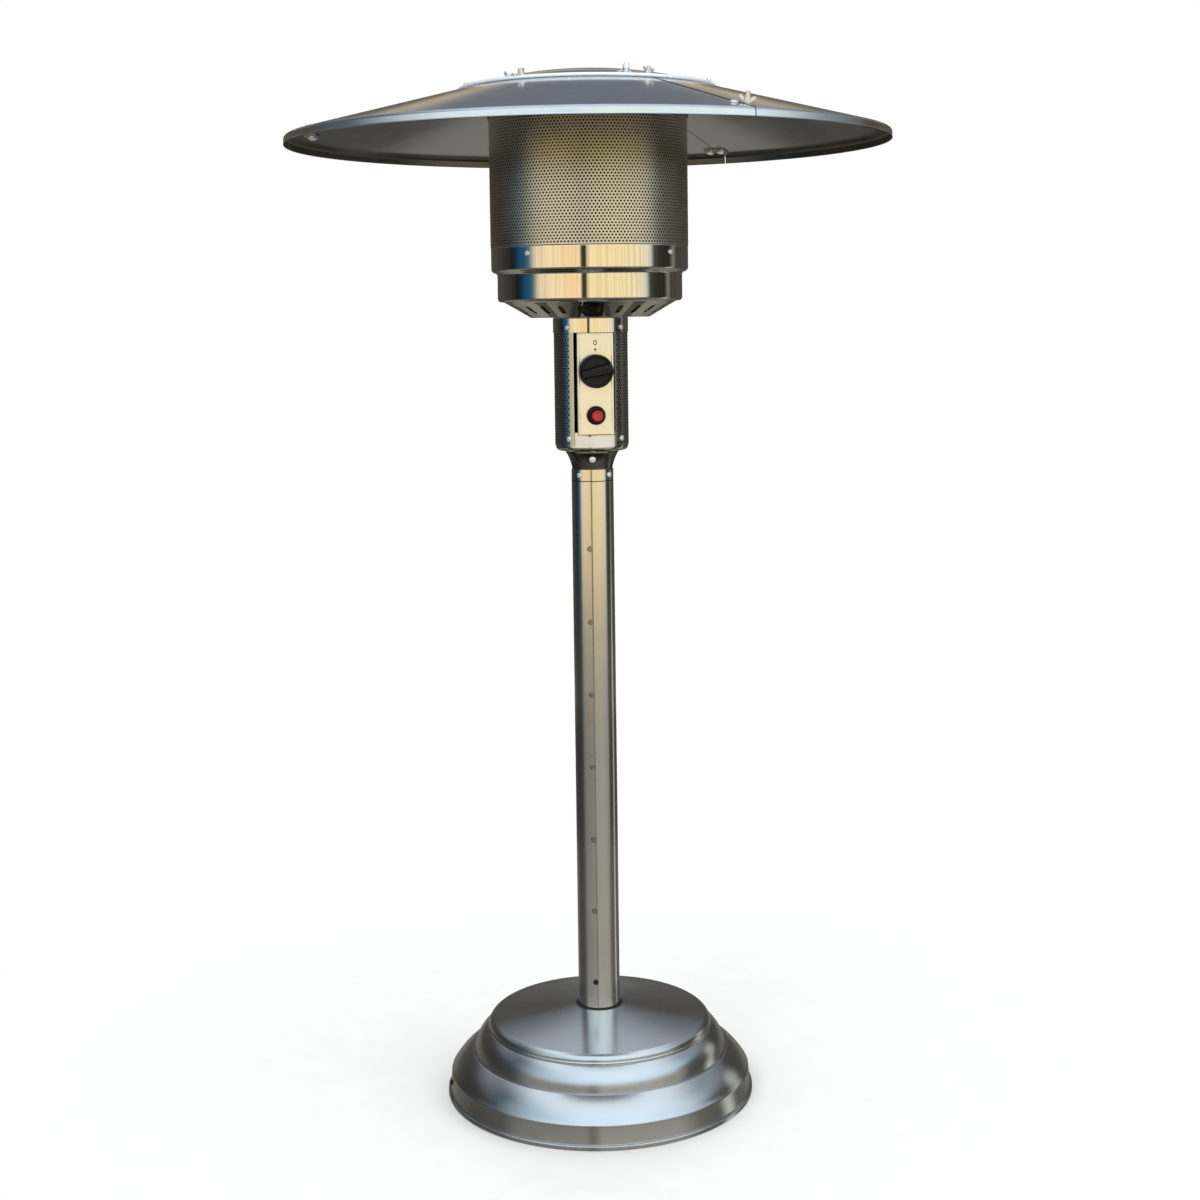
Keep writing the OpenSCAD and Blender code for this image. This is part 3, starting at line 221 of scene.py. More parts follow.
def make(name, shape, finish, body, nodes, sharp=32.0, inside=None):
    """Makes a piece of points and faces. Points closer than 0.1 micrometre are one, which closes seams and
    poles, and a face keeps only its different points. inside is the finish of faces that look at the axis
    more than away from it or along it."""
    points, faces = shape
    spots, same = np.unique(np.round(points / 1000, 7), axis=0, return_inverse=True)
    same = same.reshape(-1)
    corners, totals = [], []
    for group in faces:
        index = same[group]
        keep = index != np.roll(index, 1, axis=1)
        total = keep.sum(1)
        corners.append(index[total > 2][keep[total > 2]])
        totals.append(total[total > 2])
    corners, totals = np.concatenate(corners), np.concatenate(totals)
    used, corners = np.unique(corners, return_inverse=True)
    mesh = bpy.data.meshes.new(name)
    mesh.vertices.add(len(used))
    mesh.vertices.foreach_set("co", spots[used].ravel())
    mesh.loops.add(len(corners))
    mesh.loops.foreach_set("vertex_index", corners.reshape(-1).astype(np.int32))
    mesh.polygons.add(len(totals))
    mesh.polygons.foreach_set("loop_start", np.r_[0, np.cumsum(totals)[:-1]].astype(np.int32))
    mesh.polygons.foreach_set("use_smooth", np.ones(len(totals), bool))
    mesh.update(calc_edges=True)
    mesh.validate()
    mesh.set_sharp_from_angle(angle=math.radians(sharp))
    mesh.materials.append(finish)
    if inside:
        mesh.materials.append(inside)
        middle, normal = np.empty((2, len(totals) * 3), np.float32)
        mesh.polygons.foreach_get("center", middle)
        mesh.polygons.foreach_get("normal", normal)
        middle, normal = middle.reshape(-1, 3), normal.reshape(-1, 3)
        outward = (middle[:, :2] * normal[:, :2]).sum(1) / np.maximum(np.hypot(*middle[:, :2].T), 1e-6)
        mesh.polygons.foreach_set("material_index", (outward < -0.3).astype(np.int32))
    piece = bpy.data.objects.new(name, mesh)
    bpy.context.scene.collection.objects.link(piece)
    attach(piece, body)
    if nodes:
        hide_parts(*nodes)
    return piece


def merged(*shapes):
    """Several shapes as one: the points one after the other, and the faces counted on."""
    points, faces, count = [], [], 0
    for p, f in shapes:
        points.append(p)
        faces += [g + count for g in f]
        count += len(p)
    return np.vstack(points), faces


def frontal(shape, x, y, z):
    """Lays a shape that was made on the axis down: its height comes to the front from the plane y, about
    the point x, z of the panel."""
    p, faces = shape
    return np.stack([p[:, 0] + x, -p[:, 2] + y, -p[:, 1] + z], -1), faces


# Finishes

def surface(name, colours, metallic, roughness, grain, height, stretch=(1, 1, 1), rings=False, wave=0.0,
            **fixed):
    """A finish: noise at the grain's size in millimetres mixes the two colours and the two roughness values
    and gives a bump of that height. rings lays the noise in circles round the axis, on radius less height,
    which grows all the way along a spun profile. wave is the height of a slow wave of 70 mm in the sheet.
    fixed are values of the shader's own sockets."""
    material = bpy.data.materials.new(name)
    material.use_nodes = True
    tree = material.node_tree
    tree.nodes.clear()
    where = add(tree, "TexCoord").outputs["Object"]
    slow = add(tree, "TexNoise", {"Vector": where, "Scale": 14.0, "Detail": 2.0}).outputs["Fac"]
    if rings:
        split = add(tree, "SeparateXYZ", {0: where})
        flat = add(tree, "CombineXYZ", {0: split.outputs[0], 1: split.outputs[1]})
        reach = add(tree, "VectorMath", {0: flat.outputs[0]}, operation="LENGTH")
        along = add(tree, "Math", {0: reach.outputs["Value"], 1: split.outputs[2]}, operation="SUBTRACT")
        where = add(tree, "CombineXYZ", {0: split.outputs[0], 1: split.outputs[1],
                                         2: along.outputs[0]}).outputs[0]
    place = add(tree, "Mapping", {"Vector": where, "Scale": stretch})
    fine = add(tree, "TexNoise", {"Vector": place.outputs[0], "Scale": 1000 / grain, "Detail": 3.0})
    half = add(tree, "Math", {0: slow, 1: 0.5}, operation="MULTIPLY")
    blend = add(tree, "Math", {0: fine.outputs["Fac"], 1: 0.5, 2: half.outputs[0]},
                operation="MULTIPLY_ADD")
    colour = add(tree, "ValToRGB", {0: blend.outputs[0]}, stops=((0.3, colours[0]), (0.7, colours[1])))
    rough = add(tree, "MapRange", {"Value": blend.outputs[0], "From Min": 0.3, "From Max": 0.7,
                                   "To Min": roughness[0], "To Max": roughness[1]})
    sheet = add(tree, "Bump", {"Height": slow, "Distance": wave / 1000, "Strength": 1.0})
    bump = add(tree, "Bump", {"Height": fine.outputs["Fac"], "Distance": height / 1000, "Strength": 1.0,
                              "Normal": sheet.outputs[0]})
    shader = add(tree, "BsdfPrincipled", {"Base Color": colour.outputs[0], "Metallic": metallic,
                                          "Roughness": rough.outputs[0], "Normal": bump.outputs[0], **fixed})
    if "Anisotropic" in fixed:
        tangent = add(tree, "Tangent", direction_type="RADIAL", axis="Z")
        tree.links.new(tangent.outputs[0], shader.inputs["Tangent"])
    add(tree, "OutputMaterial", {"Surface": shader.outputs[0]})
    return material


# Each holds its two colours, metallic, the two roughness values, the grain's size and the bump's height
FINISH = {
    # Stainless sheet, polished on a wheel: a clear mirror with a faint haze and a slow wave in the sheet
    "mirror_polished_stainless": surface(
        "mirror_polished_stainless", ("#E2DFD9", "#ECEAE5"), 1.0, (0.03, 0.06), 60, 0.0, wave=0.05),
    # Stainless sheet pressed to a flare, left as it came from the tool, so it mirrors little; its grey is
    # darker than the sheet's own: painted shade on the flare that faces down
    "pressed_stainless_painted_shade": surface(
        "pressed_stainless_painted_shade", ("#6F6C68", "#85827E"), 1.0, (0.16, 0.26), 5, 0.003, wave=0.05),
    # Welded stainless tube, belt polished round its axis: sharp upright streaks, blurred up and down;
    # the real lines are 0.05 mm apart, drawn at 0.5 mm so that they show
    "belt_polished_tube": surface(
        "belt_polished_tube", ("#DEDCD7", "#EAE8E4"), 1.0, (0.14, 0.20), 0.5, 0.0006,
        stretch=(0.02, 0.02, 1), Anisotropic=0.6, **{"Anisotropic Rotation": 0.25}),
    # The sliding tube, drawn and greased: a soft grey, also where it shows in the lock holes
    "drawn_steel_tube": surface(
        "drawn_steel_tube", ("#A3A29E", "#B4B3AF"), 1.0, (0.30, 0.42), 6, 0.002),
    # Stainless sheet spun over a form: rings from the tool, 0.8 mm apart, and fans of light across them
    "spun_satin_stainless": surface(
        "spun_satin_stainless", ("#D6D7D8", "#E3E4E5"), 1.0, (0.17, 0.25), 0.8, 0.0010,
        stretch=(0.015, 0.015, 1), rings=True, wave=0.10, Anisotropic=0.8,
        **{"Anisotropic Rotation": 0.25}),
    # Stainless sheet, brushed along its length and lacquered, which lays a milky veil over what it mirrors:
    # soft upright lines, drawn at 0.6 mm for 0.1 mm
    "brushed_stainless_panel": surface(
        "brushed_stainless_panel", ("#E3E3DC", "#EEEEE7"), 0.72, (0.14, 0.22), 0.6, 0.0006,
        stretch=(1, 1, 0.02), wave=0.06),
    # Aluminium label, brushed and lacquered: a pale, even silver
    "lacquered_label_aluminium": surface(
        "lacquered_label_aluminium", ("#DCDAD4", "#EAE8E3"), 0.5, (0.34, 0.44), 0.5, 0.0005,
        stretch=(0.02, 0.02, 1)),
    # Perforated stainless, straw coloured by heat
    "perforated_stainless": surface(
        "perforated_stainless", ("#CFC8B8", "#D8D2C4"), 1.0, (0.30, 0.38), 25, 0.0, wave=0.06),
    # The same sheet where it stays cool: a cleaner grey that mirrors more sharply
    "perforated_stainless_cool": surface(
        "perforated_stainless_cool", ("#D3D4D2", "#DEDEDC"), 1.0, (0.20, 0.27), 25, 0.0, wave=0.05),
    # Rolled aluminium sheet, semi-bright: it blurs what it mirrors, with a slow wave from forming
    "rolled_aluminium": surface(
        "rolled_aluminium", ("#C2C6CA", "#CED1D4"), 1.0, (0.10, 0.16), 30, 0.0, wave=0.12),
    # The folded edge of the disc in near white: a painted highlight, the bright line round it
    "aluminium_edge_painted_highlight": surface(
        "aluminium_edge_painted_highlight", ("#F1F5F7", "#FFFFFF"), 0.25, (0.20, 0.30), 5, 0.002),
    # The rolled sheet's underside inside the rim: a darker, duller grey than its top
    "darker_underside_aluminium": surface(
        "darker_underside_aluminium", ("#84847B", "#94948A"), 1.0, (0.30, 0.42), 20, 0.0),
    # Pressed steel with bright zinc: pale, slightly blue, with a fine spangle
    "zinc_plated_steel": surface(
        "zinc_plated_steel", ("#9B9FA3", "#B5B8BA"), 1.0, (0.26, 0.42), 1.5, 0.01),
    # Bright nickel on turned and headed steel: small hard highlights, and a near-white matt share that is a
    # painted highlight, so that the heads look white
    "nickel_steel_painted_highlight": surface(
        "nickel_steel_painted_highlight", ("#E2E2E1", "#F0F0EE"), 0.6, (0.14, 0.22), 3, 0.004),
    # Steel with black powder coat: a low, even gloss over orange peel of 1.2 mm
    "black_powder_coat": surface(
        "black_powder_coat", ("#1B1C1E", "#26272A"), 0.0, (0.42, 0.55), 1.2, 0.02),
    # Sand-cast iron: rough and matt, with the sand's grain of 1 mm
    "sand_cast_iron": surface(
        "sand_cast_iron", ("#232425", "#36383A"), 0.6, (0.65, 0.8), 1, 0.12),
    # Moulded black rubber: dull, with a soft bloom
    "moulded_rubber": surface(
        "moulded_rubber", ("#111111", "#1D1D1E"), 0.0, (0.6, 0.78), 2, 0.02),
    # Moulded black thermoset of the knob and bezel: fine spark-eroded texture and a soft gloss
    "moulded_black_plastic": surface(
        "moulded_black_plastic", ("#0B0A0A", "#121110"), 0.0, (0.38, 0.50), 0.7, 0.006,
        **{"Specular IOR Level": 0.3}),
    # Moulded red plastic of the button: smooth and glossy
    "moulded_red_plastic": surface(
        "moulded_red_plastic", ("#A81C24", "#B9262C"), 0.0, (0.14, 0.22), 4, 0.004),
    # Turned brass: warm, with fine turning lines
    "turned_brass": surface(
        "turned_brass", ("#B98F42", "#CDA75A"), 1.0, (0.2, 0.32), 0.6, 0.003),
    # Drawn copper tube: reddish, lightly tarnished
    "drawn_copper": surface(
        "drawn_copper", ("#8F5633", "#B87348"), 1.0, (0.25, 0.42), 5, 0.004),
    # Glazed ceramic of the electrode: off-white and glossy
    "glazed_ceramic": surface(
        "glazed_ceramic", ("#DED8CC", "#ECE7DC"), 0.0, (0.12, 0.2), 4, 0.003),
    # Silicone sleeve of the igniter's lead: dull red
    "extruded_silicone": surface(
        "extruded_silicone", ("#8F2019", "#A62A22"), 0.0, (0.5, 0.62), 2, 0.004),
    # Steel in the burner's heat: scaled brown-grey
    "heat_scaled_steel": surface(
        "heat_scaled_steel", ("#5B544B", "#857C70"), 1.0, (0.35, 0.55), 12, 0.02),
    # The inner face of sheet over the flame: a dark scale of oxide and soot that mirrors next to nothing;
    # the same near black is painted shade on the sleeve's inner face, the linings behind the holes and the
    # reflector's seams
    "soot_and_painted_shade_stainless": surface(
        "soot_and_painted_shade_stainless", ("#1C1916", "#2E2A25"), 0.6, (0.6, 0.75), 8, 0.02),
    # Screen print on the panel: flat black ink
    "screen_print_ink": surface(
        "screen_print_ink", ("#1E1B16", "#2A261F"), 0.0, (0.5, 0.6), 1, 0.0),
}

# The nodes that keep the construction's own shape, by finish
DRESS = {
    "moulded_rubber": ("foot_pads", "gas_hose"),
    "black_powder_coat": ("base_plate", "post_flange", "base_screws", "lock_screw"),
    "sand_cast_iron": ("ballast_weight",),
    "zinc_plated_steel": ("base_bolts", "cover_lugs", "lock_nut", "head_bolts", "panel_bracket",
                          "stem_washer", "valve_stem", "pilot_tube", "stud_spacers", "seam_straps"),
    "belt_polished_tube": ("outer_post", "post_collar"),
    "drawn_steel_tube": ("inner_tube",),
    "moulded_black_plastic": ("guide_bush", "glide_ring", "tilt_switch"),
    "drawn_copper": ("gas_pipe", "thermocouple"),
    "turned_brass": ("inlet_nipple", "gas_valve", "main_jet"),
    "nickel_steel_painted_highlight": ("collar_screws", "neck_screws", "housing_screws", "band_screws",
                            "reflector_studs", "reflector_bolts", "wing_nuts"),
    "mirror_polished_stainless": ("housing_cup",),
    "pressed_stainless_painted_shade": ("neck",),
    "lacquered_label_aluminium": ("name_plate",),
    "extruded_silicone": ("igniter_wire",),
    "glazed_ceramic": ("igniter_electrode",),
    "heat_scaled_steel": ("pilot_burner", "venturi_tube", "burner_pot", "burner_plate"),
    "perforated_stainless": ("burner_gauze",),
}
for finish, nodes in DRESS.items():
    for node in nodes:
        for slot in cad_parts[node].material_slots:
            slot.material = FINISH[finish]

# Base cover: the spun sheet from the post's opening over the cone, the rim bead and two tiers to the hem
upper_tier = bulge((155.4, 89.7), (174, 60.5), 3.2)
lower_tier = bulge((177.8, 59.7), (204.7, 32.5), 2.2)
cover_line = np.vstack([
    [[31, 118], [37, 118], [147, 102.6]], bulge((147.6, 102.1), (153.8, 93.6), 1.3, 6),
    [[154.7, 92.6], [154.8, 91.2], [154, 90.02]], upper_tier, [[173.2, 59.7]], lower_tier,
    bulge((204.7, 32.5), (206, 29), 0.6, 4)[1:],
    [[208, 7], [207.2, 6], [210.2, 6], [211, 5.2], [211, 0.6]]])
cover_inner = moved(np.vstack([
    [[31, 118], [37, 118], [147.5, 102.5]], upper_tier, lower_tier, [[206, 29], [208, 7]]]), 1.2)
cover = np.vstack([eased(cover_line, 0.7), [[206.8, 0.6]], cover_inner[::-1]])
make("base_cover_spun", lathed(cover, steps=256), FINISH["spun_satin_stainless"], "base",
     ["base_cover"], sharp=40)

# Rubber ring at the post: only its thin lip stands over the cover
make("post_grommet_lip", lathed(np.array([[28.65, 116.5], [31.0, 116.5], [31.0, 118.05], [32.2, 118.05],
                                          [31.8, 118.7], [29.2, 119.3], [28.65, 119]])[::-1]),
     FINISH["moulded_rubber"], "base", ["post_grommet"])

# Head: bands, the step between them and the slotted cone in one sheet
bowl_line = eased(np.vstack([
    [[131.9, 1170.3], [131.9, 1162.6], [132.8, 1161.7], [132.8, 1133.3]],
    bulge((132.2, 1131.7), (126.8, 1128.4), 0.9, 4),
    [[125, 1126.6], [124.6, 1124.8], [124.6, 1093.8], [123.7, 1091.4], [121.8, 1090],
     [116, 1089.3], [80, 1068.3], [36, 1068.3]]]), 1.0)
bowl = sheet_outline(bowl_line, 1.2)
turns = len(bowl_line)

# The cone is the outline's longest leg about the radius 98; the slotted fields take its place
CONE_RADIUS = 98
leg_middles = (bowl_line[:-1, 0] + bowl_line[1:, 0]) / 2
leg_lengths = np.linalg.norm(np.diff(bowl_line, axis=0), axis=1)
cone_leg = int(np.argmax(np.where(np.abs(leg_middles - CONE_RADIUS) < 6, leg_lengths, 0)))
cone_leg_inside = 2 * turns - 2 - cone_leg
cone_out = bowl[[cone_leg, cone_leg + 1]]
cone_in = bowl[[cone_leg_inside + 1, cone_leg_inside]]
SLOTS = 24
SLOT_HALF_WIDTH = 3.5
SLOT_HALF_STRAIGHT = 6.5


def slotted_cone():
    """The fields of the cone, each with a slot of 7 by 20 mm in it. Sheet points are the angle and the share
    of the way down the cone; the slot's outline is two half circles and two straights."""
    side = np.linspace(0, 1, 9)[:-1]
    half = 180 / SLOTS
    cell = np.vstack([np.stack([-half + 2 * half * side, 1 + 0 * side], 1),
                      np.stack([half + 0 * side, 1 - side], 1),
                      np.stack([half - 2 * half * side, 0 * side], 1),
                      np.stack([-half + 0 * side, side], 1)])
    bend = np.pi * side
    w, s = SLOT_HALF_WIDTH, SLOT_HALF_STRAIGHT
    slot = np.vstack([np.stack([-w * np.cos(bend), -s - w * np.sin(bend)], 1),
                      np.stack([w + 0 * side, -s + 2 * s * side], 1),
                      np.stack([w * np.cos(bend), s + w * np.sin(bend)], 1),
                      np.stack([-w + 0 * side, s - 2 * s * side], 1)])
    length = np.linalg.norm(cone_out[1] - cone_out[0])
    share = 0.5 - slot[:, 1] / length
    r = cone_out[0, 0] + share * (cone_out[1, 0] - cone_out[0, 0])
    hole = np.stack([np.degrees(slot[:, 0] / r), share], 1)
    turn = (np.arange(SLOTS) * 360 / SLOTS)[:, None, None] * np.array([1.0, 0.0])

    def place(q, depth):
        ends = cone_in if depth else cone_out
        at = ends[0] + q[..., 1:] * (ends[1] - ends[0])
        a = np.radians(q[..., 0])
        return np.stack([at[..., 0] * np.sin(a), -at[..., 0] * np.cos(a), at[..., 1]], -1)

    return pierced(cell + turn, hole + turn, place)


bowl_shape = lathed(bowl, start=-180 / SLOTS, stop=360 - 180 / SLOTS, skip=(cone_leg, cone_leg_inside))
make("head_bowl_polished", merged(bowl_shape, slotted_cone()), FINISH["mirror_polished_stainless"], "mast",
     ["head_bowl"], inside=FINISH["soot_and_painted_shade_stainless"])

# Emitter: perforated sheet in four courses. The real holes are 3.67 mm apart in staggered rows 3.03 mm
# apart, too fine to show; they are drawn 1.3 times as coarse, and so are the sleeve's. Both sheets are
# backed by a thin plain near-black lining that stops all light: painted shade for the dark inside
EMITTER_RADIUS = 133.2
EMITTER_LOW, EMITTER_HIGH = 1162.65, 1338.65
EMITTER_COLUMNS = 176
EMITTER_PITCH = 3.93
COURSES = 4
COURSE_ROWS = 11
for number in range(COURSES):
    row = COURSE_ROWS * number
    first = EMITTER_LOW + 1.4 + EMITTER_PITCH * row
    low = first if number else EMITTER_LOW
    high = EMITTER_HIGH if number == COURSES - 1 else first + EMITTER_PITCH * COURSE_ROWS
    sheet = perforated(EMITTER_RADIUS, 0.7, COURSE_ROWS, EMITTER_COLUMNS, EMITTER_PITCH, low, first, high,
                       shift=row % 2)
    make(f"emitter_screen_course_{number + 1}", sheet, FINISH["perforated_stainless"], "mast",
         ["emitter_screen"], sharp=50, inside=FINISH["soot_and_painted_shade_stainless"])
# A thin near-black lining just inside the screen: painted shade, so that the holes look dark
lining = [[132.2, 1163], [132.2, 1338.3], [132.4, 1338.3], [132.4, 1163]]
make("emitter_painted_shade_lining", lathed(lining), FINISH["soot_and_painted_shade_stainless"], "mast",
     ["emitter_screen"])
cap_line = [[0, 1339.9], [133.5, 1339.9], [134.7, 1338.7], [134.7, 1334]]
cap_line = np.vstack([eased(cap_line, 1.0), [[133.6, 1334], [133.6, 1338.75], [0, 1338.75]]])
make("emitter_cap_rimmed", lathed(cap_line), FINISH["heat_scaled_steel"], "mast",
     ["emitter_cap"])

# Control housing: the sleeve leaves the front open, and the faceplate stands in it
SLEEVE_RADIUS = 50
SLEEVE_LOW, SLEEVE_HIGH = 896.25, 1054.25
SLEEVE_ROWS, SLEEVE_COLUMNS = 40, 53
SLEEVE_PITCH = 3.85
sleeve = perforated(SLEEVE_RADIUS, 0.55, SLEEVE_ROWS, SLEEVE_COLUMNS, SLEEVE_PITCH, SLEEVE_LOW, 898.3,
                    SLEEVE_HIGH, start=31.5, stop=324.5)
# The sleeve's inner face is near black: painted shade inside the housing
make("sleeve_perforated", sleeve, FINISH["perforated_stainless_cool"], "mast",
     ["perforated_sleeve"], sharp=50, inside=FINISH["soot_and_painted_shade_stainless"])
# A thin near-black lining just inside the sleeve: painted shade, so that its holes look dark
lining = [[49.2, 896.5], [49.2, 1054], [49.35, 1054], [49.35, 896.5]]
make("sleeve_painted_shade_lining", lathed(lining, 32, 324, 128), FINISH["soot_and_painted_shade_stainless"], "mast",
     ["perforated_sleeve"])
ring_line = sheet_outline(eased([[50.85, 1048.25], [50.85, 1067.2], [50.2, 1068.1], [36, 1068.25]][::-1],
                                1.2, 4), 0.8)
make("housing_top_band", lathed(ring_line), FINISH["mirror_polished_stainless"], "mast",
     ["housing_top_ring"])


def panel_sheet():
    """The faceplate's cross section, bent from one sheet with a rounded bend and a shallow step inside each
    edge, carried up from its foot to its top."""
    outside = [[-24.4, -34.0], [-24.4, -44.0], [-21.8, -44.0], [-21.2, PANEL_FACE], [0, PANEL_FACE]]
    inside = [[-23.5, -34.0], [-23.5, -43.1], [-22.2, -43.1], [-21.6, -42.6], [0, -42.6]]
    front, back = (np.vstack([edge, (edge * [-1, 1])[-2::-1]])
                   for edge in (eased(np.array(outside), 1.1, 5), eased(np.array(inside), 0.4, 5)))
    section = np.vstack([front, back[::-1]])
    levels = np.array([911.65, 912.05, 1047.25, 1047.65])
    inset = np.array([0.35, 0.0, 0.0, 0.35])
    count = len(section)
    grid = np.repeat(section[None], 4, 0)
    grid[..., 1] += inset[:, None]
    points = np.concatenate([grid, np.repeat(levels[:, None], count, 1)[..., None]], -1).reshape(-1, 3)
    i, j = np.meshgrid(np.arange(3), np.arange(count), indexing="ij")
    k = (j + 1) % count
    faces = np.stack([i * count + j, i * count + k, (i + 1) * count + k, (i + 1) * count + j], -1)
    caps = [np.arange(count)[None, ::-1], 3 * count + np.arange(count)[None, :]]
    return points, [faces.reshape(-1, 4)] + caps


make("faceplate_bent", panel_sheet(), FINISH["brushed_stainless_panel"], "mast",
     ["faceplate"])


def printed(outer, inner, z):
    """A printed oval line on the panel, 0.07 mm thick: an ellipse of half sizes outer less one of half
    sizes inner, or a full one where inner is zero, about the height z."""
    a = np.linspace(0, 2 * np.pi, 33)[:-1]
    rings = [np.stack([half[0] * np.cos(a), half[1] * np.sin(a)], 1) for half in (outer, inner)]
    points = np.vstack([np.column_stack([ring[:, 0], np.full(32, y), ring[:, 1] + z])
                        for y in (PANEL_FACE - 0.08, PANEL_FACE - 0.01) for ring in rings])
    j = np.arange(32)
    k = (j + 1) % 32
    out, within, out_back, within_back = (32 * i for i in range(4))
    faces = [np.stack([a1 + j, a1 + k, a2 + k, a2 + j], -1) for a1, a2 in (
        (out, within), (within, within_back), (within_back, out_back), (out_back, out))]
    return points, faces


make("off_mark", merged(printed((2.6, 3.6), (1.5, 2.5), 1034.6), printed((1.5, 1.5), (0, 0), 1025.6)),
     FINISH["screen_print_ink"], "mast", [])


def knob_shape():
    """The knob as a height over a disc: a rim, a face sunk inside it, and a grip bar across it that widens
    to its pointing end. Every step is a smoothstep of the distance from its edge."""
    radius = 22.5
    count = 144
    rings = np.r_[np.linspace(0, 20, 61), np.linspace(20.2, radius, 12)]
    a = np.linspace(0, 2 * np.pi, count + 1)[:-1]
    r, a = np.meshgrid(rings, a, indexing="ij")
    tilt = math.radians(12)
    x, y = r * np.cos(a), r * np.sin(a)
    along, across = x * math.cos(tilt) + y * math.sin(tilt), y * math.cos(tilt) - x * math.sin(tilt)

    def step(low, high, value):
        t = np.clip((value - low) / (high - low), 0, 1)
        return t * t * (3 - 2 * t)

    face = 9.0 - 1.3 * step(19.6, 18.4, r) - 2.6 * step(21.2, radius, r) ** 2
    wide = 5.5 + 1.3 * along / radius
    grip = step(-1.4, 0.2, wide - np.abs(across)) * step(21.6, 20.2, r)
    crown = 17.9 - 0.5 * (across / 6) ** 2 - 0.35 * step(0.55, 0.3, np.abs(across)) * step(8, 9, along)
    top = face + (crown - face) * grip
    front = np.stack([x, y, top], -1).reshape(-1, 3)
    rows = len(rings)
    i, j = np.meshgrid(np.arange(rows - 1), np.arange(count), indexing="ij")
    k = (j + 1) % count
    faces = np.stack([i * count + j, (i + 1) * count + j, (i + 1) * count + k, i * count + k], -1)
    rim = (rows - 1) * count
    low = rows * count
    ends = np.stack([radius * np.cos(a[0]), radius * np.sin(a[0]), 0 * a[0]], -1)
    j = np.arange(count)
    k = (j + 1) % count
    wall = np.stack([rim + j, low + j, low + k, rim + k], -1)
    points = np.vstack([front, ends])
    points = np.stack([points[:, 0], -points[:, 2] - 49.2, points[:, 1] + KNOB_LEVEL], -1)
    return points, [faces.reshape(-1, 4), wall, (low + j[::-1])[None, :]]


make("knob_moulded", knob_shape(), FINISH["moulded_black_plastic"], "knob", ["knob"],
     sharp=50)
bezel = eased([[0, 0], [12.7, 0], [12.7, 3.2], [10.6, 5.9], [8.2, 6], [7.5, 5.2], [7.3, -5], [0, -5]],
              0.7, 3)
barrel = [[0, -32], [0, -0.2], [9, -0.2], [9, -32]]
make("igniter_bezel", merged(
    frontal(lathed(bezel[::-1], steps=96), 0, -44.05, IGNITER_LEVEL),
    frontal(lathed(barrel, steps=64), 0, -44.05, IGNITER_LEVEL)),
    FINISH["moulded_black_plastic"], "mast", ["igniter_body"])
button = eased([[0, 11.2], [4.2, 11.4], [5.8, 12], [7.1, 11], [7.2, 9.6], [7.2, -12], [0, -12]], 0.6, 4)
make("igniter_button_cap", frontal(lathed(button, steps=96), 0, -50, IGNITER_LEVEL),
     FINISH["moulded_red_plastic"], "igniter_button", ["igniter_button"])

# Reflector: three segments with an open seam between them, and the domed disc over their inner edges
rim_line = [[156, 1373.65], [401, 1309.95], [403, 1308.75], [404, 1306.95], [404, 1299.85],
            [404.6, 1299.15], [404, 1298.45]]
rim_outline = sheet_outline(eased(rim_line, 1.2, 4), 1.0)
for number in range(3):
    start = SEAM + 120 * number
    make(f"reflector_sheet_{number + 1}", lathed(rim_outline, start, start + 120, 96, slit=1.5),
         FINISH["rolled_aluminium"], "mast", [f"reflector_segment_{number + 1}"],
         inside=FINISH["darker_underside_aluminium"])
DISC_RADIUS, DISC_LEVEL, DISC_RISE = 170, 1371.61, 25.5
disc_r = np.linspace(0, DISC_RADIUS, 25)
disc_line = np.stack([disc_r, DISC_LEVEL + DISC_RISE * (1 - (disc_r / DISC_RADIUS) ** 2)], 1)


def bead_at(angles, radius):
    """Points on the circle of the disc's rolled edge, by their angles."""
    a = np.radians(angles)
    return np.stack([170.8 + radius * np.cos(a), 1372.2 + radius * np.sin(a)], 1)


disc_outline = np.vstack([disc_line[:-1], bead_at(np.linspace(80, -200, 15), 2.2),
                          moved(disc_line, 1.0)[-2::-1]])
# The disc's rolled edge in near white: a painted highlight
make("reflector_disc_edge", lathed(bead_at(np.linspace(0, -360, 17)[:-1], 2.35)),
     FINISH["aluminium_edge_painted_highlight"], "mast", [])
make("reflector_disc_domed", lathed(disc_outline), FINISH["rolled_aluminium"], "mast",
     ["reflector_disc"])


def seam_joint(angle):
    """The open seam of 1.5 mm between two segments, drawn as a dark joint of 2.6 mm so that it shows: a
    flat bar along the cone, 0.3 mm proud, turned to the seam's angle, in near black as painted shade for
    the dark gap."""
    ends = ((173.5, 1369.15), (400.5, 1310.08))
    corners = ((-1.3, -0.4), (1.3, -0.4), (1.3, 0.3), (-1.3, 0.3))
    points = np.array([[across, -r, z + lift] for r, z in ends for across, lift in corners])
    turn = math.radians(angle)
    x = points[:, 0] * math.cos(turn) - points[:, 1] * math.sin(turn)
    y = points[:, 0] * math.sin(turn) + points[:, 1] * math.cos(turn)
    sides = np.array([[0, 4, 5, 1], [1, 5, 6, 2], [2, 6, 7, 3], [3, 7, 4, 0], [0, 1, 2, 3], [7, 6, 5, 4]])
    return np.stack([x, y, points[:, 2]], 1), [sides]


make("reflector_seam_painted_shade", merged(*(seam_joint(SEAM + 120 * i) for i in range(3))),
     FINISH["soot_and_painted_shade_stainless"], "mast", [])

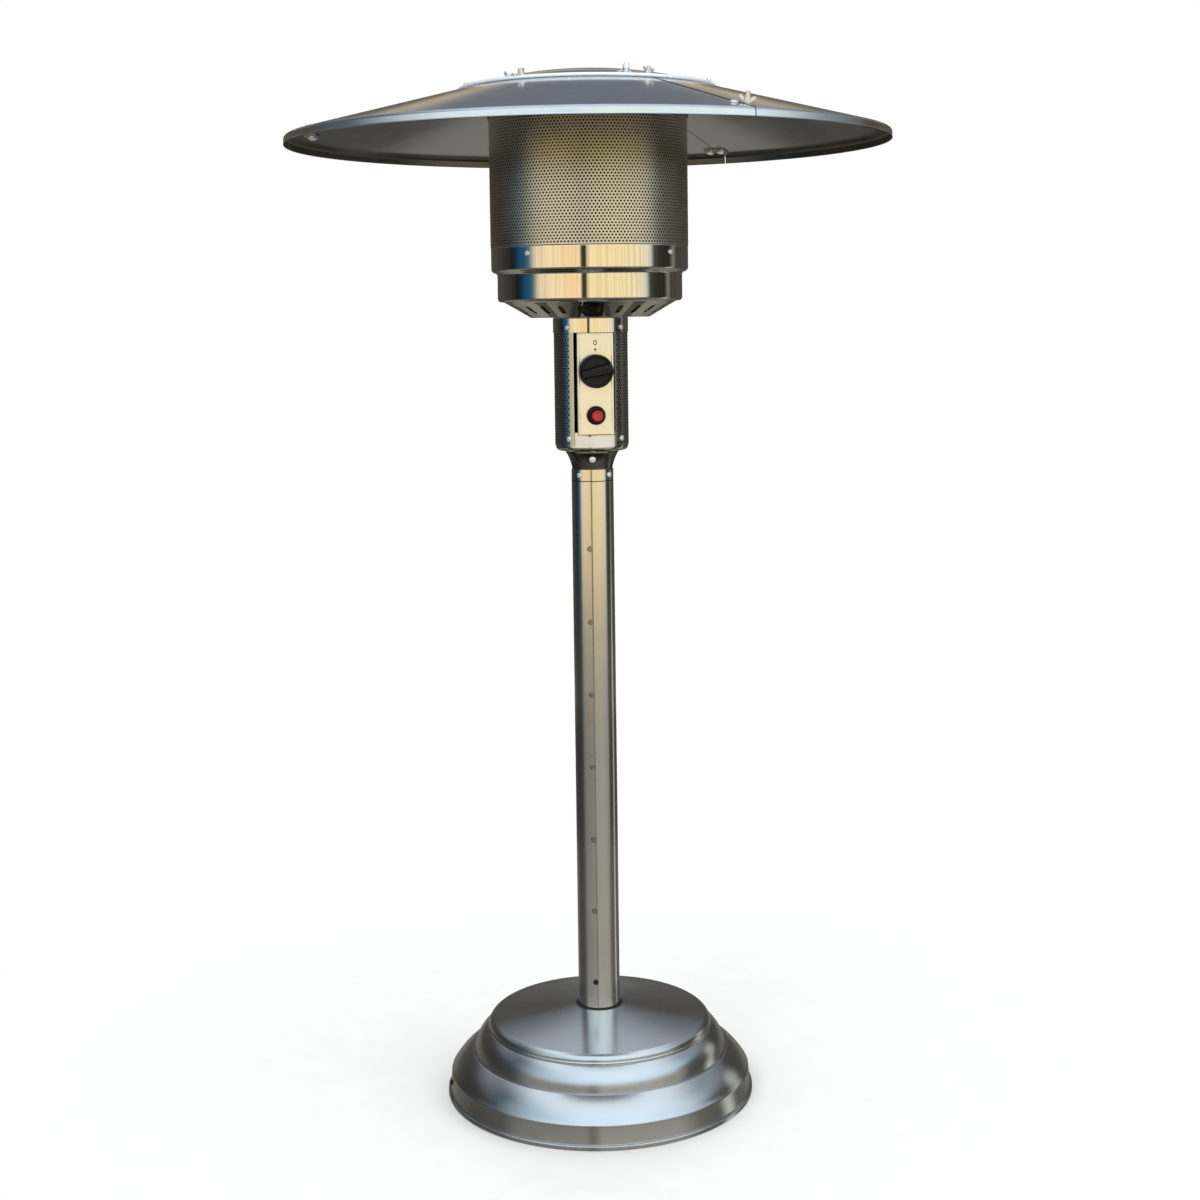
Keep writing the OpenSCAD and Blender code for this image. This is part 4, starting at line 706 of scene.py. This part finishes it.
# Studio: a pale floor, soft lamps, and a surrounding for the metal to mirror
floor_mesh = bpy.data.meshes.new("studio_floor")
FLOOR = 9
floor_mesh.from_pydata([(x * FLOOR, y * FLOOR, 0) for x, y in ((-1, -1), (1, -1), (1, 1), (-1, 1))],
                       [], [(0, 1, 2, 3)])
floor = bpy.data.objects.new("studio_floor", floor_mesh)
bpy.context.scene.collection.objects.link(floor)
floor.visible_glossy = False
paint = surface("painted_studio_floor", ("#F2F2F0", "#F6F6F4"), 0.0, (0.85, 0.95), 40, 0.0)
floor_mesh.materials.append(paint)

# To the camera the floor runs out into plain white, away from the heater's shadow
tree = paint.node_tree
painted = next(n for n in tree.nodes if n.type == "BSDF_PRINCIPLED")
spot = add(tree, "SeparateXYZ", {0: add(tree, "TexCoord").outputs["Object"]})
flat = add(tree, "CombineXYZ", {0: spot.outputs[0], 1: spot.outputs[1]})
away = add(tree, "VectorMath", {0: flat.outputs[0]}, operation="LENGTH")
far = add(tree, "MapRange", {"Value": away.outputs["Value"], "From Min": 0.35, "From Max": 1.1},
          interpolation_type="SMOOTHSTEP")
share = add(tree, "Math", {0: far.outputs[0], 1: add(tree, "LightPath").outputs["Is Camera Ray"]},
            operation="MULTIPLY")
white = add(tree, "Emission", {"Color": linear("#FFFFFF"), "Strength": 1.0})
whole = add(tree, "MixShader", {0: share.outputs[0], 1: painted.outputs[0], 2: white.outputs[0]})
out = next(n for n in tree.nodes if n.type == "OUTPUT_MATERIAL")
tree.links.new(whole.outputs[0], out.inputs["Surface"])

# Three discs of light, aimed at the post's middle, which metal doesn't mirror
LAMP_AIM = 0.7
for name, place, size, power in (
        ("key_softbox", (-1.9, -2.6, 3.0), 2.2, 42), ("fill_softbox", (2.6, -1.6, 2.2), 2.4, 22),
        ("back_softbox", (0.4, 2.8, 2.8), 2.4, 26)):
    lamp = bpy.data.lights.new(name, "AREA")
    lamp.shape = "DISK"
    lamp.size = size
    lamp.energy = power
    light = bpy.data.objects.new(name, lamp)
    bpy.context.scene.collection.objects.link(light)
    light.visible_glossy = False
    light.location = place
    aim = np.array([0, 0, LAMP_AIM]) - np.array(place)
    light.rotation_euler = (math.atan2(math.hypot(aim[0], aim[1]), -aim[2]), 0,
                            math.atan2(aim[1], aim[0]) - math.pi / 2)


def by_bearing(tree, way, stops):
    """A colour ramp over the bearing round the heater, from the camera's side of it: the angle of the way
    from the front, plus the camera's turn, wrapped into half a turn either way."""
    x, y = way.outputs[0], way.outputs[1]
    ahead = add(tree, "Math", {0: y, 1: -1.0}, operation="MULTIPLY")
    bearing = add(tree, "Math", {0: x, 1: ahead.outputs[0]}, operation="ARCTAN2")
    turned = add(tree, "Math", {0: bearing.outputs[0], 1: math.radians(CAMERA_TURN)}, operation="ADD")
    bearing = add(tree, "Math", {0: turned.outputs[0], 1: math.pi, 2: -math.pi}, operation="WRAP")
    share = add(tree, "MapRange", {"Value": bearing.outputs[0], "From Min": -math.pi, "From Max": math.pi})
    ramp = add(tree, "ValToRGB", {0: share.outputs[0]}, stops=[((a + 180) / 360, c) for a, c in stops])
    return ramp.outputs[0], bearing.outputs[0]


def over(tree, value, low, high, below, above):
    """The colour below, eased into the colour above while the value goes from low to high."""
    share = add(tree, "MapRange", {"Value": value, "From Min": low, "From Max": high},
                interpolation_type="SMOOTHSTEP")
    mix = add(tree, "Mix", {"Factor": share.outputs[0]}, data_type="RGBA")
    tree.links.new(below, mix.inputs[6])
    tree.links.new(above, mix.inputs[7])
    return mix.outputs[2]


# What the metal alone mirrors, as bearings and colours: a wall with a warm bright upper part and a grey
# foot, and a low kerb in the foot's colours that stands closer
CARD_GLOW = 1.25
WALL = ((-180, "#4C4944"), (-140, "#45423D"), (-106, "#2E2B26"), (-99, "#1B1E1C"), (-94, "#142C3C"),
        (-84, "#1B4A6E"), (-76, "#2E5A70"), (-72, "#6F7C78"), (-68, "#A9B0A4"), (-62, "#F0DAB4"),
        (-40, "#F7E2B4"), (-20, "#FBD8A4"), (-11, "#F3D9A8"), (-8.5, "#3B342A"), (-4.0, "#463D31"),
        (-2.5, "#EAD6A9"), (2, "#F8E2AC"), (30, "#F9E5B0"), (60, "#F5E3BA"), (67, "#EADFC4"),
        (73, "#C8CAC0"), (78, "#4A4A44"), (86, "#33302B"), (104, "#2B2824"), (112, "#7C7A70"),
        (118, "#45423C"), (180, "#4C4944"))
FOOT = ((-180, "#55524C"), (-110, "#2F2E2C"), (-78, "#3A3B3A"), (-62, "#6F6F6A"), (-12, "#7E7C76"),
        (-8, "#6E6A61"), (-4, "#736F67"), (0, "#949189"), (40, "#99968E"), (70, "#8C8A84"),
        (80, "#454441"), (104, "#3C3B38"), (111, "#B4B5AE"), (117, "#A6A7A0"), (124, "#3B3A37"),
        (180, "#55524C"))


def mirror_card(name, away, low, high, below, above, blend):
    """A card bent to a ring round the heater, away from its axis and from low to high, which only metal
    sees. The ramp below gives way to the ramp above between the two heights of blend, and noise over the
    bearing gives both upright streaks."""
    count = 96
    turn = np.linspace(0, 2 * np.pi, count + 1)[:-1]
    ring = np.stack([away * np.sin(turn), -away * np.cos(turn)], 1)
    mesh = bpy.data.meshes.new(name)
    mesh.from_pydata([(*p, z) for z in (low, high) for p in ring], [],
                     [(i, (i + 1) % count, count + (i + 1) % count, count + i) for i in range(count)])
    card = bpy.data.objects.new(name, mesh)
    bpy.context.scene.collection.objects.link(card)
    card.visible_camera = card.visible_diffuse = card.visible_transmission = card.visible_shadow = False
    paint = bpy.data.materials.new(name + "_paint")
    paint.use_nodes = True
    tree = paint.node_tree
    tree.nodes.clear()
    way = add(tree, "SeparateXYZ", {0: add(tree, "TexCoord").outputs["Object"]})
    upper, bearing = by_bearing(tree, way, above)
    whole = over(tree, way.outputs[2], *blend, by_bearing(tree, way, below)[0], upper)
    streak = add(tree, "TexNoise", {"W": bearing, "Scale": 16.0, "Detail": 4.0}, noise_dimensions="1D")
    shade = add(tree, "MapRange", {"Value": streak.outputs["Fac"], "From Min": 0.38, "From Max": 0.55,
                                   "To Min": 0.80, "To Max": 1.0})
    whole = add(tree, "VectorMath", {0: whole, 1: shade.outputs[0]}, operation="MULTIPLY")
    glow = add(tree, "Emission", {"Color": whole.outputs[0], "Strength": CARD_GLOW})
    add(tree, "OutputMaterial", {"Surface": glow.outputs[0]})
    mesh.materials.append(paint)


mirror_card("mirror_wall", 3.0, 0.0, 1.5, FOOT, WALL, (0.04, 0.5))
mirror_card("mirror_kerb", 0.8, 0.12, 0.36, FOOT, FOOT, (0, 1))

# The world: white to the camera, an even pale light on what is matt, and for the metal a ground and a sky,
# in layers from straight down to straight up
SKY_GLOW = 1.5
GROUND = ((-180, "#6E6C66"), (-110, "#3A3936"), (-78, "#424241"), (-62, "#6C6C69"), (-10, "#7C7A74"),
          (-7, "#5C5850"), (-4, "#5F5B53"), (0, "#8B8880"), (60, "#8A8780"), (80, "#55544F"),
          (104, "#4A4A46"), (111, "#B4B5AE"), (117, "#A8A9A2"), (124, "#43433F"), (180, "#6E6C66"))
NADIR = ((-180, "#2A2825"), (-90, "#1F1D1A"), (0, "#24211D"), (90, "#23211E"), (180, "#2A2825"))
UNDER = ((-180, "#77756A"), (-120, "#706D63"), (-60, "#4A4741"), (0, "#4E4B45"), (60, "#4A4741"),
         (120, "#65625A"), (180, "#77756A"))
LOW = ((-180, "#544C42"), (-125, "#4A443C"), (-95, "#59636A"), (-50, "#E6F6FE"), (0, "#F4FDFF"),
       (60, "#F1FCFF"), (95, "#8E979B"), (125, "#4F4940"), (180, "#544C42"))
STRIPE = ((-180, "#B9A98E"), (-125, "#6D665B"), (-95, "#59636A"), (-50, "#D8EDF9"), (0, "#E8F7FE"),
          (60, "#E6F6FD"), (95, "#8E979B"), (125, "#6F685D"), (180, "#B9A98E"))
HIGH = ((-180, "#5E656D"), (-130, "#565A60"), (-95, "#404A53"), (-60, "#9FB6C6"), (-20, "#C9E0F2"),
        (30, "#D3E9F8"), (75, "#BFD2DE"), (105, "#7D8890"), (140, "#5C6167"), (180, "#5E656D"))
CREST = ((-180, "#A9B2BC"), (-130, "#6A7078"), (-95, "#404A53"), (-60, "#9FB6C6"), (-20, "#C9E0F2"),
         (30, "#D3E9F8"), (75, "#BFD2DE"), (105, "#7D8890"), (140, "#6E757C"), (180, "#A9B2BC"))
ZENITH = ((-180, "#C3CBD3"), (0, "#D6E2EC"), (180, "#C3CBD3"))
world = bpy.data.worlds.new("studio_surrounding")
bpy.context.scene.world = world
world.use_nodes = True
tree = world.node_tree
tree.nodes.clear()
way = add(tree, "SeparateXYZ", {0: add(tree, "TexCoord").outputs["Generated"]})
height = add(tree, "Math", {0: way.outputs[2]}, operation="ARCSINE").outputs[0]
whole = by_bearing(tree, way, NADIR)[0]

# Each layer with the heights in degrees between which it takes over from the one below
LAYERS = ((UNDER, -64, -42), (GROUND, -34, -24), (LOW, -2, 1), (STRIPE, 14.0, 15.0), (HIGH, 16.8, 18.0),
          (CREST, 30, 36), (ZENITH, 42, 66))
for stops, low, high in LAYERS:
    layer = by_bearing(tree, way, stops)[0]
    whole = over(tree, height, math.radians(low), math.radians(high), whole, layer)
bright = add(tree, "VectorMath", {0: whole, "Scale": SKY_GLOW}, operation="SCALE")
path = add(tree, "LightPath")
lit = add(tree, "Mix", {"Factor": path.outputs["Is Glossy Ray"], 6: linear("#EDEFF1")}, data_type="RGBA")
tree.links.new(bright.outputs[0], lit.inputs[7])
seen = add(tree, "Mix", {"Factor": path.outputs["Is Camera Ray"], 7: linear("#FFFFFF")}, data_type="RGBA")
tree.links.new(lit.outputs[2], seen.inputs[6])
background = add(tree, "Background", {"Color": seen.outputs[2], "Strength": 1.0})
add(tree, "OutputWorld", {"Surface": background.outputs[0]})

# Camera: at the head's height and turned 8 degrees to the panel's left, as the photograph was taken, but
# tipped down a little, so that the reflector stays in view from the other sides
DISTANCE, HEIGHT, PITCH, ROLL, ASIDE = 2.5415, 1.0770, 4.436, 0.743, 0.0106
FOCAL_LENGTH, SHIFT = 56.2, -0.12
turn, pitch, roll = (math.radians(v) for v in (CAMERA_TURN, PITCH, ROLL))
level = np.array([math.sin(turn), math.cos(turn), 0])
right = np.array([math.cos(turn), -math.sin(turn), 0])
ahead = level * math.cos(pitch) - np.array([0, 0, math.sin(pitch)])
up = np.cross(right, ahead)
across = right * math.cos(roll) - up * math.sin(roll)
upright = up * math.cos(roll) + right * math.sin(roll)
spot = -DISTANCE * level + [0, 0, HEIGHT] + ASIDE * right
lens = bpy.data.cameras.new("camera")
lens.lens = FOCAL_LENGTH
lens.sensor_width = 36
lens.sensor_fit = "HORIZONTAL"
lens.shift_y = SHIFT
camera = bpy.data.objects.new("camera", lens)
bpy.context.scene.collection.objects.link(camera)
stand = np.eye(4)
stand[:3, 0], stand[:3, 1], stand[:3, 2], stand[:3, 3] = across, upright, -ahead, spot
camera.matrix_world = stand.T.tolist()
bpy.context.scene.camera = camera
bpy.context.scene.view_settings.view_transform = "Standard"
